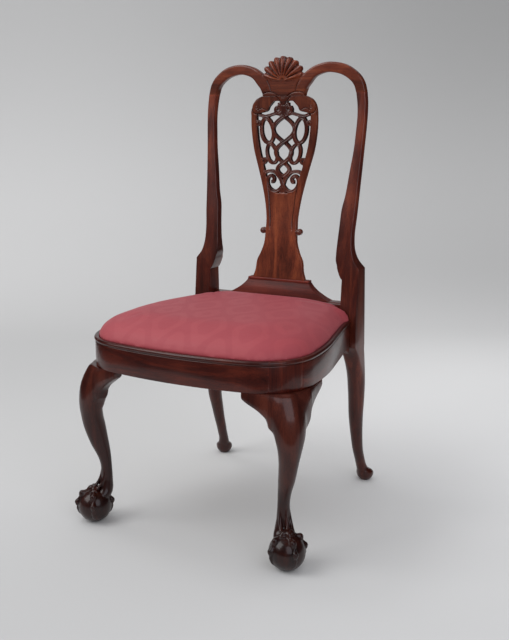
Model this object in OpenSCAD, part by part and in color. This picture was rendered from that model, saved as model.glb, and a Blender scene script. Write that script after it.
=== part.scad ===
// Side chair with a pierced vase splat, a drop-in seat and claw-and-ball front feet.
// Millimetres. The floor is z = 0, the front of the chair faces -y and x = 0 is its plane of symmetry.
// Pieces of the right-hand side are modelled, and those of the left are their mirror images.

/* [Overall] */
// Height from the floor to the top of the crest shell
overall_h = 985; // [960:1:1010]
// Depth from the front of the seat rim to the backs of the rear feet
overall_d = 556; // [546:1:572]
// Height of the seat rim above the floor
seat_h = 409; // [398:1:420]
// Width of the seat rim where it is widest
seat_w = 498; // [486:1:512]
// Depth of the seat rim from its front to the rear posts
seat_d = 426; // [416:1:436]
// Width of the back across the rear posts at the seat
back_w = 417; // [405:1:425]

/* [Seat frame] */
// Height of the seat rails, lip included
rail_h = 61.5; // [56:0.5:68]
// Width of the curved seat rails
rail_t = 44; // [40:0.5:48]
// Radius of the front rail's bow
bow_r = 920; // [800:5:1100]
// Radius of the rounded front corners of the rim
corner_r = 113; // [106:1:120]
// How far the rim's sides end inside the posts' outer faces
side_set = 11.5; // [9:0.5:14]
// Slant of the sides' straight part, as a share of the slant from their widest point to the posts
side_share = 1.308; // [1.2:0.002:1.4]
// Slant of the sides where they meet the posts, as a share of the straight part's slant
end_share = 0.53; // [0.4:0.01:0.7]
// Radius of the sides' hollow in front of the posts
hollow_r = 400; // [360:10:440]
// Width of the rounded lip around the slip seat
lip_w = 12; // [11:0.5:13.5]
// Depth of the rabbet that holds the slip seat
rabbet_h = 18; // [16:0.5:20]
// How far the rim's lip stands out over the rails' faces
lip_over = 2; // [1.5:0.25:3]
// Length of rim that each front leg's post takes up
corner_len = 72; // [66:1:78]
// Height of the rear rail's top above the rim
rear_rise = 31; // [27:0.5:34]
// Thickness of the rear rail under its rabbet
rear_t = 50; // [47:0.5:52]
// Thickness of the rear rail above its rabbet
rear_wall = 26; // [23:0.5:28]
// Thickness of the rails' tenons
tenon_t = 10; // [8:0.5:11]
// Height of the rails' tenons
tenon_h = 32; // [26:0.5:34]
// Length of the tenons in the front legs' posts
front_tenon = 20; // [14:0.5:22]
// Length of the side rails' tenons in the rear posts
side_tenon = 22; // [16:0.5:24]
// Length of the rear rail's tenons in the rear posts
rear_tenon = 20; // [14:0.5:24]
// Clearance around each tenon in its mortise
fit = 0.15; // [0.1:0.05:0.3]
// Distance between the rails' mortises and each post's faces
tenon_shoulder = 5; // [4:0.5:8]
// Size of the glue blocks along the rails
block_s = 42; // [34:1:48]
// Height of the glue blocks
block_h = 36; // [28:1:40]
// How far the glue blocks stand above the bottom of the rails
block_set = 3; // [1:0.5:5]

/* [Front legs] */
// Radius of the ball under each front leg
ball_r = 36; // [33:0.5:38]
// Flat worn on the bottom of each ball
ball_flat = 1; // [0.6:0.1:1.6]
// Direction of the leg round the rim's corner, from straight ahead
leg_turn = 52; // [49:0.5:55]
// How far the ball's centre stands outside the rim
leg_out = 12; // [8:0.5:16]
// How far the foot is set to the front, across the leg's direction
foot_lead = 6; // [3:0.5:8]
// Thickness of the ankle
ankle_w = 24.5; // [22:0.5:28]
// How far the ankle is set in from the ball's centre
ankle_set = 28; // [25:0.5:30]
// Thickness of the knee across the leg
knee_w = 54; // [50:0.5:58]
// Thickness of a claw at its knuckles
claw_w = 11; // [9:0.5:13]
// Length of rim covered by a front knee bracket, from the leg's centre
front_bracket = 91; // [84:1:98]
// Length of rim covered by a side knee bracket, from the leg's centre
side_bracket = 120; // [111:1:127]
// Height of a knee bracket at its tip
bracket_tip = 13; // [10:0.5:16]
// Thickness of the knee brackets
bracket_t = 28; // [24:0.5:32]
// How far a knee bracket reaches down beside its leg
bracket_drop = 100; // [90:1:106]
// How far a knee bracket swells out beside its leg
bracket_swell = 22; // [16:0.5:26]
// Thickness of the core that joins each leg to its corner post
stump = 16; // [12:1:18]

/* [Rear posts] */
// Width of a rear post at the seat
post_w = 39; // [37:0.5:42]
// Depth of a rear post at its shoulder
post_d = 38; // [36:0.5:41]
// How much deeper a rear post is at the bottom of the rails
post_swell = 17; // [12:0.5:20]
// Height of the posts' outer shoulder above the rim
shoulder_h = 112; // [104:1:120]
// Height of the posts' inner shoulder above the rim
hollow_h = 87; // [80:1:94]
// How far the stile steps in at the outer shoulder
shoulder_in = 21; // [18:0.5:24]
// How far the stile steps in at the inner shoulder
hollow_in = 12.8; // [10:0.2:15]
// Width of the stile where it is widest above the shoulder
stile_belly = 33.5; // [31:0.5:36]
// Width of the stile where it is narrowest
stile_w = 19.5; // [18:0.5:22]
// Depth of the stile from front to back
stile_d = 22; // [20:0.5:25]
// How far the stiles' tops stand behind the end of the seat
back_rake = 60; // [50:1:70]
// Radius of the rear leg under the seat
rear_leg_r = 20.3; // [19:0.1:21]
// Radius of the rear leg at its ankle
rear_ankle_r = 11.8; // [10.5:0.1:13]
// Radius of the pad foot
pad_r = 20; // [18:0.5:22]
// Height of the pad foot
pad_h = 29; // [26:0.5:33]
// How far the pad foot stands out beyond the leg's ankle
pad_out = 7; // [4:0.5:9]
// Width of the tenons on the stiles' tops
stile_tenon_w = 7; // [6:0.5:9]
// Depth of the tenons on the stiles' tops
stile_tenon_d = 10; // [8:0.5:11]
// Height of the tenons on the stiles' tops
stile_tenon_h = 14; // [10:0.5:16]
// Length of the rear brackets under the side rails
rear_bracket = 24; // [18:1:30]
// Height of the rear brackets
rear_bracket_h = 15; // [11:0.5:20]

/* [Shoe and splat] */
// Height of the shoe above the rear rail
shoe_h = 42; // [36:0.5:46]
// Width of the shoe's top
shoe_top_w = 150; // [142:1:160]
// Width of the shoe's foot
shoe_w = 262; // [240:1:300]
// How far the shoe's front slopes back
shoe_slope = 7; // [4:0.5:9]
// Thickness of the splat
splat_t = 11.5; // [10:0.5:13]
// Width of the splat at its foot
foot_w = 134; // [126:1:140]
// Width of the splat at its waist
waist_w = 79; // [74:1:86]
// Width of the splat at its widest
splat_w = 167; // [160:1:172]
// Diameter of the small bosses on the splat's edges
boss_d = 15; // [13:0.5:18]
// Height of the bosses above the splat's foot
boss_z = 109; // [100:1:118]
// Width of the border left round the piercing
border_w = 15.5; // [14:0.5:17]
// Width of the interlaced straps
strap_w = 7.6; // [6.5:0.1:8.6]
// Number of half turns that the outer straps make
strap_turns = 2; // [1:1:3]
// Swing of the inner straps as a share of the outer straps' swing
inner_share = 0.55; // [0.45:0.01:0.65]
// Height of the pierced zone's foot above the splat's foot
pierce_z = 196; // [186:1:206]
// Depth of the splat's tongues in the shoe and the crest
tongue = 12; // [8:0.5:14]
// How far each end of a tongue stands inside the splat's edge
tongue_set = 13; // [11:0.5:16]
// Thickness of the wood left in front of a tongue
tongue_cheek = 3; // [2:0.25:3.5]

/* [Crest] */
// Height of the crest above the tops of the stiles
crest_h = 82; // [76:1:90]
// Height of the crest above the top of the splat
crest_neck_h = 88; // [84:1:94]
// Width of the crest's neck
neck_w = 104; // [98:1:110]
// Width of the crest's yoke where it is slimmest
yoke_w = 22.5; // [20:0.5:25]
// Depth of the crest from front to back
crest_d = 20; // [18:0.5:22]
// How far the crest's middle stands in front of its ends
crest_bow = 3; // [0:0.5:6]
// Radius of the carved shell
shell_r = 54; // [50:0.5:57]
// Number of lobes of the shell
shell_lobes = 7; // [5:2:9]
// Height of the shell's carving over the crest's face
shell_relief = 6; // [4:0.5:8]

/* [Slip seat] */
// Gap between the slip seat and the lip
seat_gap = 1; // [0.8:0.1:1.5]
// Width of the slip frame's members
slip_w = 48; // [42:1:56]
// Thickness of the slip frame
slip_t = 17; // [15:0.5:18]
// Width of the webbing
web_w = 54; // [48:1:58]
// Thickness of the webbing
web_t = 1.4; // [1.2:0.1:1.8]
// Bands of webbing each way
web_n = 3; // [2:1:4]
// Thickness of the sackcloth over the webbing
sack_t = 0.8; // [0.6:0.1:1.2]
// Thickness of the seat cover
cover_t = 1.5; // [1.2:0.1:2]
// Height of the cover's edge above the rim
seat_edge = 4; // [3:0.5:6]
// Height of the crown above the rim
seat_crown = 52; // [44:1:58]
// Length of the slip frame's tenons
slip_tenon = 22; // [16:1:26]
// Wood left above and below the slip frame's tenons
slip_cheek = 5; // [4:0.25:5.5]
// How far the webbing's ends lie inside the slip frame's edge
web_set = 14; // [8:1:20]
// How far the sackcloth's hem lies inside the slip frame's edge
sack_set = 6; // [4:0.5:8]
// Gap between the pieces laid on each other in the slip seat
lay = 0.25; // [0.2:0.05:0.4]

/* [Hidden] */

mahogany = "#5a2a20";
dark_mahogany = "#3f1a14";
crest_mahogany = "#7a3d27";
oak = "#a98658";
linen = "#b9a582";
silk = "#ad4b57";

front_y = -overall_d / 2;
post_y = front_y + seat_d;
leg_top = seat_h - rail_h;
ledge_z = seat_h - rabbet_h;
bow_cy = front_y + bow_r;
corner_x = seat_w / 2 - corner_r;
corner_y = bow_cy - sqrt(pow(bow_r - corner_r, 2) - pow(corner_x, 2));
bow_a = asin(corner_x / (bow_r - corner_r));
post_out = back_w / 2;
post_in = post_out - post_w;
rear_back = post_y + rear_t;
side_end_x = post_out - side_set;
side_slant = side_share * atan((seat_w / 2 - side_end_x) / (post_y - corner_y));
end_slant = end_share * side_slant;
side_dx = seat_w / 2 - side_end_x - hollow_r * (cos(end_slant) - cos(side_slant));
side_dy = post_y - corner_y - hollow_r * (sin(side_slant) - sin(end_slant));
side_r = (side_dy * sin(side_slant) - side_dx * cos(side_slant)) / (1 - cos(side_slant));
side_l = (side_dx - side_r * (1 - cos(side_slant))) / sin(side_slant);
corner_half = corner_len / corner_r * 90 / PI;
post_a0 = leg_turn - corner_half;
post_a1 = leg_turn + corner_half;
tenon_z = leg_top + (rail_h - rabbet_h - tenon_h) / 2;
rear_top = seat_h + rear_rise;
rear_front = rear_back - rear_wall;
shoulder_z = seat_h + shoulder_h;
hollow_z = seat_h + hollow_h;
crest_z = overall_h - crest_h;
ankle_z = 2 * ball_r + 18;
ball_z = ball_r - ball_flat;
splat_z0 = rear_top + shoe_h;
splat_z1 = overall_h - crest_neck_h;
shell_z = overall_h - shell_r;

// Smooth curve through the rows [key, value, ...], read at key k in column c
function row_of(rows, k, i = 0) =
    i >= len(rows) - 2 || k < rows[i + 1][0] ? i : row_of(rows, k, i + 1);
function row_slope(rows, i, c) =
    let (a = rows[max(i - 1, 0)], b = rows[min(i + 1, len(rows) - 1)])
    (b[c] - a[c]) / (b[0] - a[0]);
function smooth(rows, k, c = 1) =
    let (
        i = row_of(rows, k),
        a = rows[i],
        b = rows[i + 1],
        h = b[0] - a[0],
        t = min(max((k - a[0]) / h, 0), 1)
    )
    (2 * pow(t, 3) - 3 * t * t + 1) * a[c] + (pow(t, 3) - 2 * t * t + t) * h * row_slope(rows, i, c)
    + (3 * t * t - 2 * pow(t, 3)) * b[c] + (pow(t, 3) - t * t) * h * row_slope(rows, i + 1, c);
function mix(a, b, t) = a + (b - a) * t;
function sgn_pow(v, e) = sign(v) * pow(abs(v), e);

// Closed solid through a stack of rings, each drawn anticlockwise as seen from the last ring.
// A ring with an inner corner gives that corner as hub, and the ends are closed by triangles that meet there.
module loft(rings, hub = undef) {
    n = len(rings[0]);
    m = len(rings);
    sides = [
        for (j = [0:m - 2], i = [0:n - 1])
            let (a = j * n + i, b = j * n + (i + 1) % n, c = b + n, d = a + n)
            each [[a, d, c], [a, c, b]]
    ];
    end = (m - 1) * n;
    caps = is_undef(hub)
        ? [[for (i = [0:n - 1]) i], [for (i = [n - 1:-1:0]) end + i]]
        : [
            for (i = [1:n - 2])
                let (a = (hub + i) % n, b = (hub + i + 1) % n)
                each [[hub, a, b], [end + hub, end + b, end + a]]
        ];
    polyhedron(points = [for (r = rings) each r], faces = concat(sides, caps), convexity = 6);
}

// Rounded rectangle with its own corner radii at the front and the back
function corner_arc(cx, cy, r, a0) = [for (i = [0:3]) [cx + r * cos(a0 + i * 30), cy + r * sin(a0 + i * 30)]];
function block_ring(x0, x1, y0, y1, rf, rb) = concat(
    corner_arc(x0 + rf, y0 + rf, rf, 180),
    corner_arc(x1 - rf, y0 + rf, rf, 270),
    corner_arc(x1 - rb, y1 - rb, rb, 0),
    corner_arc(x0 + rb, y1 - rb, rb, 90)
);
function raise(ring, z) = [for (p = ring) [p[0], p[1], z]];

// Rim line of the seat as [x, y, outward x, outward y]
function bow_at(a) = [bow_r * sin(a), bow_cy - bow_r * cos(a), sin(a), -cos(a)];
function corner_at(a) = [corner_x + corner_r * sin(a), corner_y - corner_r * cos(a), sin(a), -cos(a)];
// Side of the rim: an arc of radius side_r, a straight of length side_l and a hollow of radius hollow_r
side_c = [seat_w / 2 - side_r, corner_y];
function side_arc_at(a) = [side_c[0] + side_r * sin(a), side_c[1] - side_r * cos(a), sin(a), -cos(a)];
side_bend = side_arc_at(90 + side_slant);
hollow_c = [
    side_bend[0] - side_l * sin(side_slant) + hollow_r * side_bend[2],
    side_bend[1] + side_l * cos(side_slant) + hollow_r * side_bend[3]
];
function hollow_at(a) = [hollow_c[0] - hollow_r * sin(a), hollow_c[1] + hollow_r * cos(a), sin(a), -cos(a)];
side_end = hollow_at(90 + end_slant);
// Station a given distance before the end of the side, within the hollow
function before_post(u) = hollow_at(90 + end_slant + u / hollow_r * 180 / PI);
// Rim line measured in millimetres from the leg's centre, positive towards the back
function rim_at(u) =
    let (
        a = leg_turn + u / corner_r * 180 / PI,
        bow_left = (bow_a - a) * corner_r / bow_r
    )
    a > 90 ? side_arc_at(90 + (a - 90) * corner_r / side_r)
    : a < bow_a ? bow_at(bow_a - bow_left) : corner_at(a);

// Cross-section of the rails with their beaded lip, as [distance inwards from the rim, height]
lip_r = 4.6;
rail_section = concat(
    [[lip_over, leg_top], [rail_t, leg_top], [rail_t, ledge_z], [lip_w, ledge_z]],
    [[lip_w, seat_h - 1.5], [lip_w - 1.5, seat_h]],
    [for (a = [90:30:240]) [lip_r + lip_r * cos(a), seat_h - lip_r + lip_r * sin(a)]],
    [[lip_over, seat_h - 2 * lip_r - 1.5]]
);
// Number of the section's inner corner, where the lip meets the ledge
rail_hub = 3;

// Stations along the rim's front from left to right, and along its side from the corner's angle a0 on
function mirrored(st) = [-st[0], st[1], -st[2], st[3]];
function front_path(a1) =
    let (
        right = concat(
            [for (i = [1:4]) bow_at(bow_a * i / 5)],
            [for (i = [0:4]) corner_at(mix(bow_a, a1, i / 4))]
        )
    )
    concat([for (i = [len(right) - 1:-1:0]) mirrored(right[i])], [bow_at(0)], right);
function side_path(a0, trim = 0) =
    let (end = [side_end_x + trim * tan(end_slant), post_y - trim, side_end[2], side_end[3]])
    concat(
        [for (i = [0:4]) corner_at(mix(a0, 90, i / 4))],
        [for (i = [1:4]) side_arc_at(90 + side_slant * i / 4)],
        [for (i = [4:-1:1]) hollow_at(90 + mix(end_slant, side_slant, i / 4))],
        [end]
    );
function section_at(st, section) = [for (p = section) [st[0] - st[2] * p[0], st[1] - st[3] * p[0], p[1]]];
// Section at the end of a side, cut square to the chair at height y
function square_end(st, section) = [for (p = section) [st[0] - p[0] / cos(end_slant), st[1], p[1]]];
function run(path, section, square = false) = [
    for (i = [0:len(path) - 1])
        square && i == len(path) - 1 ? square_end(path[i], section) : section_at(path[i], section)
];

// Tongue of a curved rail at rim station st, reaching along the rim, with a margin g for its mortise
module rail_tongue(st, reach, g = 0) {
    translate([st[0], st[1], 0])
        rotate([0, 0, atan2(st[2], -st[3])])
            translate([reach > 0 ? -1 : reach - g, (lip_w + rail_t - tenon_t) / 2 - g, tenon_z - g])
                cube([abs(reach) + 1 + g, tenon_t + 2 * g, tenon_h + 2 * g]);
}

module front_tongue(g = 0) {
    rail_tongue(corner_at(post_a0), front_tenon, g);
}

module side_front_tongue(g = 0) {
    rail_tongue(corner_at(post_a1), -front_tenon, g);
}

module side_rear_tongue(g = 0) {
    translate([side_end_x - lip_w - tenon_shoulder - g, post_y - 1, tenon_z - g])
        cube([tenon_t + 2 * g, side_tenon + 1 + g, tenon_h + 2 * g]);
}

module rear_tongue(g = 0) {
    translate([post_in - 1, post_y + side_tenon + tenon_shoulder - g, tenon_z - g])
        cube([rear_tenon + 1 + g, tenon_t + 2 * g, tenon_h + 2 * g]);
}

module stile_tongue(g = 0) {
    mid_x = (stile_in(crest_z) + stile_out(crest_z)) / 2;
    mid_y = (stile_front(crest_z) + stile_back(crest_z)) / 2;
    translate([mid_x - stile_tenon_w / 2 - g, mid_y - stile_tenon_d / 2 - g, crest_z - 1])
        cube([stile_tenon_w + 2 * g, stile_tenon_d + 2 * g, stile_tenon_h + 1 + g]);
}

module splat_tongue(width, y, z, g) {
    translate([tongue_set - width / 2 - g, y + tongue_cheek - g, z])
        cube([width - 2 * tongue_set + 2 * g, splat_t - 2 * tongue_cheek + 2 * g, tongue + 1 + g]);
}

module splat_top_tongue(g = 0) {
    splat_tongue(neck_w, splat_front(splat_z1), splat_z1 - 1, g);
}

module splat_foot_tongue(g = 0) {
    splat_tongue(foot_w, splat_front(splat_z0), splat_z0 - tongue - g, g);
}

module on_left() {
    mirror([1, 0, 0]) children();
}

module front_seat_rail() {
    color(dark_mahogany) {
        loft(run(front_path(post_a0), rail_section), rail_hub);
        front_tongue();
        on_left() front_tongue();
    }
}

module side_rail() {
    color(dark_mahogany) {
        loft(run(side_path(post_a1), rail_section, true), rail_hub);
        side_front_tongue();
        side_rear_tongue();
    }
}

// Rear rail, rabbeted for the slip seat, with a rounded top edge in front
module rear_seat_rail() {
    r = 6;
    arc = [for (a = [180:-22.5:90]) [rear_front + r + r * cos(a), rear_top - r + r * sin(a)]];
    profile = concat(
        [[post_y, leg_top], [post_y, ledge_z], [rear_front, ledge_z]],
        arc,
        [[rear_back, rear_top], [rear_back, leg_top]]
    );
    color(dark_mahogany) {
        translate([-post_in, 0, 0])
            rotate([90, 0, 90])
                linear_extrude(2 * post_in) polygon(profile);
        rear_tongue();
        on_left() rear_tongue();
    }
}

// Outline of the stile: how far it steps in from the post's outer face, and its width, over its length
stile_in_rows = [
    [0, 0], [0.04, 0.55], [0.075, 0.8], [0.12, 0.95], [0.2, 1], [0.3, 0.88],
    [0.45, 0.76], [0.7, 0.55], [0.85, 0.42], [0.94, 0.44], [1, 0.55]
];
stile_width_rows = [
    [0, post_w + hollow_in], [0.02, post_w + hollow_in * 0.65], [0.09, stile_belly + 5], [0.2, stile_belly],
    [0.33, stile_belly], [0.42, mix(stile_w, stile_belly, 0.62)], [0.55, mix(stile_w, stile_belly, 0.35)],
    [0.68, stile_w + 0.7], [0.78, stile_w], [0.88, stile_w], [1, stile_w + 2.5]
];
stile_depth_rows = [[0, post_d], [0.04, post_d - 5], [0.1, stile_d + 5], [0.2, stile_d + 2], [1, stile_d]];
rake_rows = [[0, 0], [0.225, 0.2], [0.4, 0.385], [0.57, 0.6], [0.75, 0.8], [0.94, 0.967], [1, 1]];
function stile_f(z) = (z - shoulder_z) / (crest_z - shoulder_z);
function stile_out(z) =
    z <= shoulder_z ? post_out : post_out - shoulder_in * smooth(stile_in_rows, stile_f(z));
function stile_in(z) =
    z <= hollow_z ? post_in
    : z < shoulder_z ? post_in - hollow_in * pow((z - hollow_z) / (shoulder_z - hollow_z), 0.65)
    : stile_out(z) - smooth(stile_width_rows, stile_f(z));
function stile_front(z) = post_y + back_rake * smooth(rake_rows, max(z - seat_h, 0) / (crest_z - seat_h));
function stile_back(z) =
    z > shoulder_z ? stile_front(z) + smooth(stile_depth_rows, stile_f(z))
    : mix(post_y + post_d + post_swell, stile_front(shoulder_z) + post_d,
        (z - leg_top) / (shoulder_z - leg_top));
function stile_ring(z) =
    let (t = min(max(stile_f(z) * 8, 0), 1), rf = mix(1.5, 4, t), rb = mix(1.5, 8, t))
    raise(block_ring(stile_in(z), stile_out(z), stile_front(z), stile_back(z), rf, rb), z);

// Rear leg as [height, x from the post's middle, y, half width, half depth, corner radius]
foot_y = overall_d / 2 - pad_r;
function rear_leg_rows() =
    let (a = rear_ankle_r, p = pad_r, b = rear_leg_r, h = leg_top, w = post_w / 2, o = pad_out - 2)
    [
        [0, o, foot_y, p - 9, p - 9, p - 9],
        [0.1 * pad_h, o, foot_y, p - 6, p - 6, p - 6],
        [0.3 * pad_h, o, foot_y, p - 2, p - 2, p - 2],
        [0.55 * pad_h, o, foot_y, p, p, p],
        [0.75 * pad_h, o - 0.5, foot_y - 2, p - 1, p - 1, p - 1],
        [0.9 * pad_h, o - 2, foot_y - 5, p - 4, p - 4, p - 4],
        [pad_h, o - 3.5, foot_y - 8, a + 2, a + 2, a + 2],
        [0.121 * h, o - 6, foot_y - 13, a + 0.2, a + 0.2, a + 0.2],
        [0.17 * h, o - 7, foot_y - 20, a, a, a],
        [0.23 * h, o - 8, foot_y - 28, a + 0.5, a + 0.5, a + 0.5],
        [0.308 * h, -2.5, foot_y - 36.4, mix(a, b, 0.18), mix(a, b, 0.18), mix(a, b, 0.18)],
        [0.406 * h, -1.5, foot_y - 45, mix(a, b, 0.38), mix(a, b, 0.38), mix(a, b, 0.38)],
        [0.504 * h, 0, post_y + 58, mix(a, b, 0.59), mix(a, b, 0.59), mix(a, b, 0.59)],
        [0.624 * h, 0, post_y + 59, mix(a, b, 0.8), mix(a, b, 0.8), mix(a, b, 0.8)],
        [0.754 * h, -0.3, post_y + 57, b, b, b],
        [0.835 * h, -0.3, post_y + 51, w, w + 1.5, 0.75 * w],
        [0.915 * h, 0, post_y + 41, w, w + 2, 0.42 * w],
        [0.964 * h, 0, post_y + 33, w, w + 3.5, 0.2 * w],
        [h - 3, 0, post_y + 29, w, w + 7, 2.5]
    ];
function rear_leg_ring(row) =
    let (x = (post_in + post_out) / 2 + row[1])
    raise(block_ring(x - row[3], x + row[3], row[2] - row[4], row[2] + row[4], row[5], row[5]), row[0]);
stile_heights = concat(
    [leg_top, seat_h, mix(seat_h, hollow_z, 0.5), hollow_z],
    [for (t = [0.15, 0.4, 0.7, 1]) mix(hollow_z, shoulder_z, t)],
    [for (f = [0.02, 0.045, 0.075, 0.12, 0.2, 0.27, 0.34, 0.41, 0.5, 0.6, 0.7, 0.8, 0.88, 0.95, 1])
        mix(shoulder_z, crest_z, f)]
);

// Rear post: the stile above the seat and the rear leg below it are one piece
module rear_post() {
    color(mahogany) {
        difference() {
            loft(concat(
                [for (row = rear_leg_rows()) rear_leg_ring(row)],
                [for (z = stile_heights) stile_ring(z)]
            ));
            side_rear_tongue(fit);
            rear_tongue(fit);
        }
        stile_tongue();
    }
}

// Front leg as [height, middle along the leg's direction, thickness along it, across it, squareness]
knee_c = rim_at(0);
leg_dir = [knee_c[2], knee_c[3]];
leg_side = [-leg_dir[1], leg_dir[0]];
leg_c = [knee_c[0], knee_c[1]] + leg_out * leg_dir;
ball_c = leg_c - foot_lead * leg_side;
function leg_z(f) = mix(ankle_z, leg_top, f);
front_leg_rows = [
    [ball_z + 10, -10, 40, 40, 2],
    [ball_z + 25, 10 - ankle_set, ankle_w + 15, ankle_w + 17, 2],
    [ball_z + 37, 3 - ankle_set, ankle_w + 7, ankle_w + 9, 2],
    [leg_z(0), 0.5 - ankle_set, ankle_w + 1.5, ankle_w + 4.5, 2],
    [leg_z(0.058), -ankle_set, ankle_w, ankle_w + 1.5, 2],
    [leg_z(0.124), 0.5 - ankle_set, ankle_w - 0.5, ankle_w, 2],
    [leg_z(0.183), 2.7 - ankle_set, ankle_w + 2.5, ankle_w + 1, 2],
    [leg_z(0.241), 6.5 - ankle_set, ankle_w + 7.5, ankle_w + 2.5, 2],
    [leg_z(0.311), 12 - ankle_set, ankle_w + 14, ankle_w + 6, 2],
    [leg_z(0.396), -10.3, knee_w - 10.6, knee_w - 20, 1.95],
    [leg_z(0.474), -5.8, knee_w - 7.4, knee_w - 16, 1.9],
    [leg_z(0.567), -1.5, knee_w - 7, knee_w - 7, 1.85],
    [leg_z(0.652), 0, knee_w - 4.6, knee_w + 4, 1.8],
    [leg_z(0.746), -3.5, knee_w + 1, knee_w + 14, 1.75],
    [leg_z(0.827), -9.7, knee_w + 6.5, knee_w + 20, 1.7],
    [leg_z(0.897), -16.9, knee_w + 8, knee_w + 23, 1.65],
    [leg_z(0.951), -22.5, knee_w + 5, knee_w + 23, 1.6],
    [leg_z(0.985), -26, knee_w + 1, knee_w + 19, 1.6],
    [leg_z(1), -29, knee_w - 4, knee_w + 14, 1.6]
];
// The leg's middle turns to the foot's below the ankle
function lead_at(z) = foot_lead * min(max((ankle_z - z) / (ankle_z - ball_z - 10), 0), 1);
function leg_ring(row) = [
    for (i = [0:15])
        let (
            a = i * 22.5,
            s = row[1] + row[2] / 2 * sgn_pow(cos(a), 2 / row[4]),
            t = row[3] / 2 * sgn_pow(sin(a), 2 / row[4]) - lead_at(row[0]),
            p = leg_c + s * leg_dir + t * leg_side
        )
        [p[0], p[1], row[0]]
];
module cabriole(from = 0) {
    loft([for (i = [from:len(front_leg_rows) - 1]) leg_ring(front_leg_rows[i])]);
}

// Core that joins the leg to the corner post above it, under the mortises
module leg_stump() {
    translate([knee_c[0], knee_c[1], leg_top - 10])
        rotate([0, 0, leg_turn - 90])
            translate([-(lip_w + rail_t) / 2 - stump / 2, -stump / 2, 0])
                cube([stump, stump, tenon_z - leg_top + 9]);
}

// Claw over the ball in direction turn: rows are [angle from the ball's top, thickness share, lift]
claw_rows = [
    [-25, 0.9, 0], [-5, 1, 1.5], [12, 1.1, 1.8], [29, 0.85, 0.2], [46, 1.1, 1],
    [64, 0.8, -0.4], [80, 1, 0.4], [97, 0.7, -0.6], [114, 0.5, -0.6], [126, 0.2, -0.4]
];
function claw_ring(turn, row) =
    let (
        d = cos(turn) * leg_dir + sin(turn) * leg_side,
        a = row[0],
        rho = ball_r + row[2],
        out = [d[0] * sin(a), d[1] * sin(a), cos(a)],
        across = [d[1], -d[0], 0],
        mid = [ball_c[0], ball_c[1], ball_z] + rho * out
    )
    [for (i = [0:7]) mid + row[1] * claw_w / 2 * (cos(i * 45) * out + sin(i * 45) * across)];
module claw(turn, from = 0) {
    loft([for (i = [from:len(claw_rows) - 1]) claw_ring(turn, claw_rows[i])]);
}

module ball() {
    translate([ball_c[0], ball_c[1], ball_z])
        difference() {
            sphere(ball_r, $fn = 26);
            translate([0, 0, -ball_z - 10]) cube([2 * ball_r, 2 * ball_r, 20], center = true);
        }
}

// Front leg with its knee, claws and ball, and the post that makes the frame's corner
module front_leg() {
    color(mahogany) {
        difference() {
            loft(
                [for (i = [0:6]) section_at(corner_at(mix(post_a0, post_a1, i / 6)), rail_section)],
                rail_hub
            );
            front_tongue(fit);
            side_front_tongue(fit);
        }
        leg_stump();
        cabriole();
        ball();
        for (turn = [0, 84, -84]) claw(turn);
        claw(180, 3);
    }
}

// Knee bracket under a rail: rows are [distance from the leg's centre, drop, swell] as shares
bracket_rows = [
    [0.1, 1, 1], [0.18, 0.88, 0.86], [0.26, 0.76, 0.7], [0.34, 0.68, 0.55], [0.39, 0.63, 0.47],
    [0.405, 0.52, 0.45], [0.46, 0.47, 0.34], [0.56, 0.4, 0.2], [0.69, 0.32, 0.1], [0.84, 0.24, 0.05],
    [0.94, 0.18, 0.03], [1, 0.13, 0.018]
];
function bracket_ring(u, row) =
    let (
        swell = row[2] * bracket_swell,
        out = lip_over - swell,
        in = lip_over + bracket_t,
        low = leg_top - (row[0] == 1 ? bracket_tip : row[1] * bracket_drop),
        st = rim_at(u)
    )
    section_at(st, [
        [out + 7, low], [in, low], [in, leg_top], [lip_over - swell * 0.35, leg_top],
        [out + 0.6, leg_top - 5], [out, mix(low, leg_top, 0.45)], [out + 2.2, low + 3.5]
    ]);
module knee_bracket(reach, way) {
    rows = [for (i = [0:len(bracket_rows) - 1]) bracket_rows[way > 0 ? i : len(bracket_rows) - 1 - i]];
    color(mahogany)
        difference() {
            loft([for (row = rows) bracket_ring(way * row[0] * reach, row)]);
            cabriole(11);
        }
}

module rear_bracket_block() {
    rows = [[0, 0.2], [0.3, 0.28], [0.6, 0.48], [0.85, 0.78], [1, 1]];
    color(mahogany)
        loft([
            for (row = rows)
                section_at(before_post(rear_bracket * (1 - row[0])), [
                    [lip_over + 1, leg_top - row[1] * rear_bracket_h],
                    [rail_t - 12, leg_top - row[1] * rear_bracket_h],
                    [rail_t - 12, leg_top],
                    [lip_over + 1, leg_top]
                ])
        ]);
}

module front_block() {
    translate([0, 0, leg_top + block_set])
        color(oak)
            intersection() {
                translate([corner_x, corner_y, 0]) cylinder(h = block_h, r = (corner_r - rail_t) * cos(3.2));
                translate([corner_x, corner_y, 0])
                    rotate([0, 0, leg_turn - 90])
                        translate([corner_r - rail_t - block_s / 2, -block_s, -1])
                            cube([block_s, 2 * block_s, block_h + 2]);
            }
}

function side_inner(u) = inset(before_post(u), rail_t + lay);
module rear_block() {
    translate([0, 0, leg_top + block_set])
        color(oak)
            linear_extrude(block_h)
                polygon([
                    side_inner(0) + [-sin(end_slant), 1] * (post_y - side_inner(0)[1]),
                    [side_end_x - rail_t - block_s, post_y],
                    side_inner(block_s * 0.9), side_inner(block_s * 0.6), side_inner(block_s * 0.3)
                ]);
}

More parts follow.
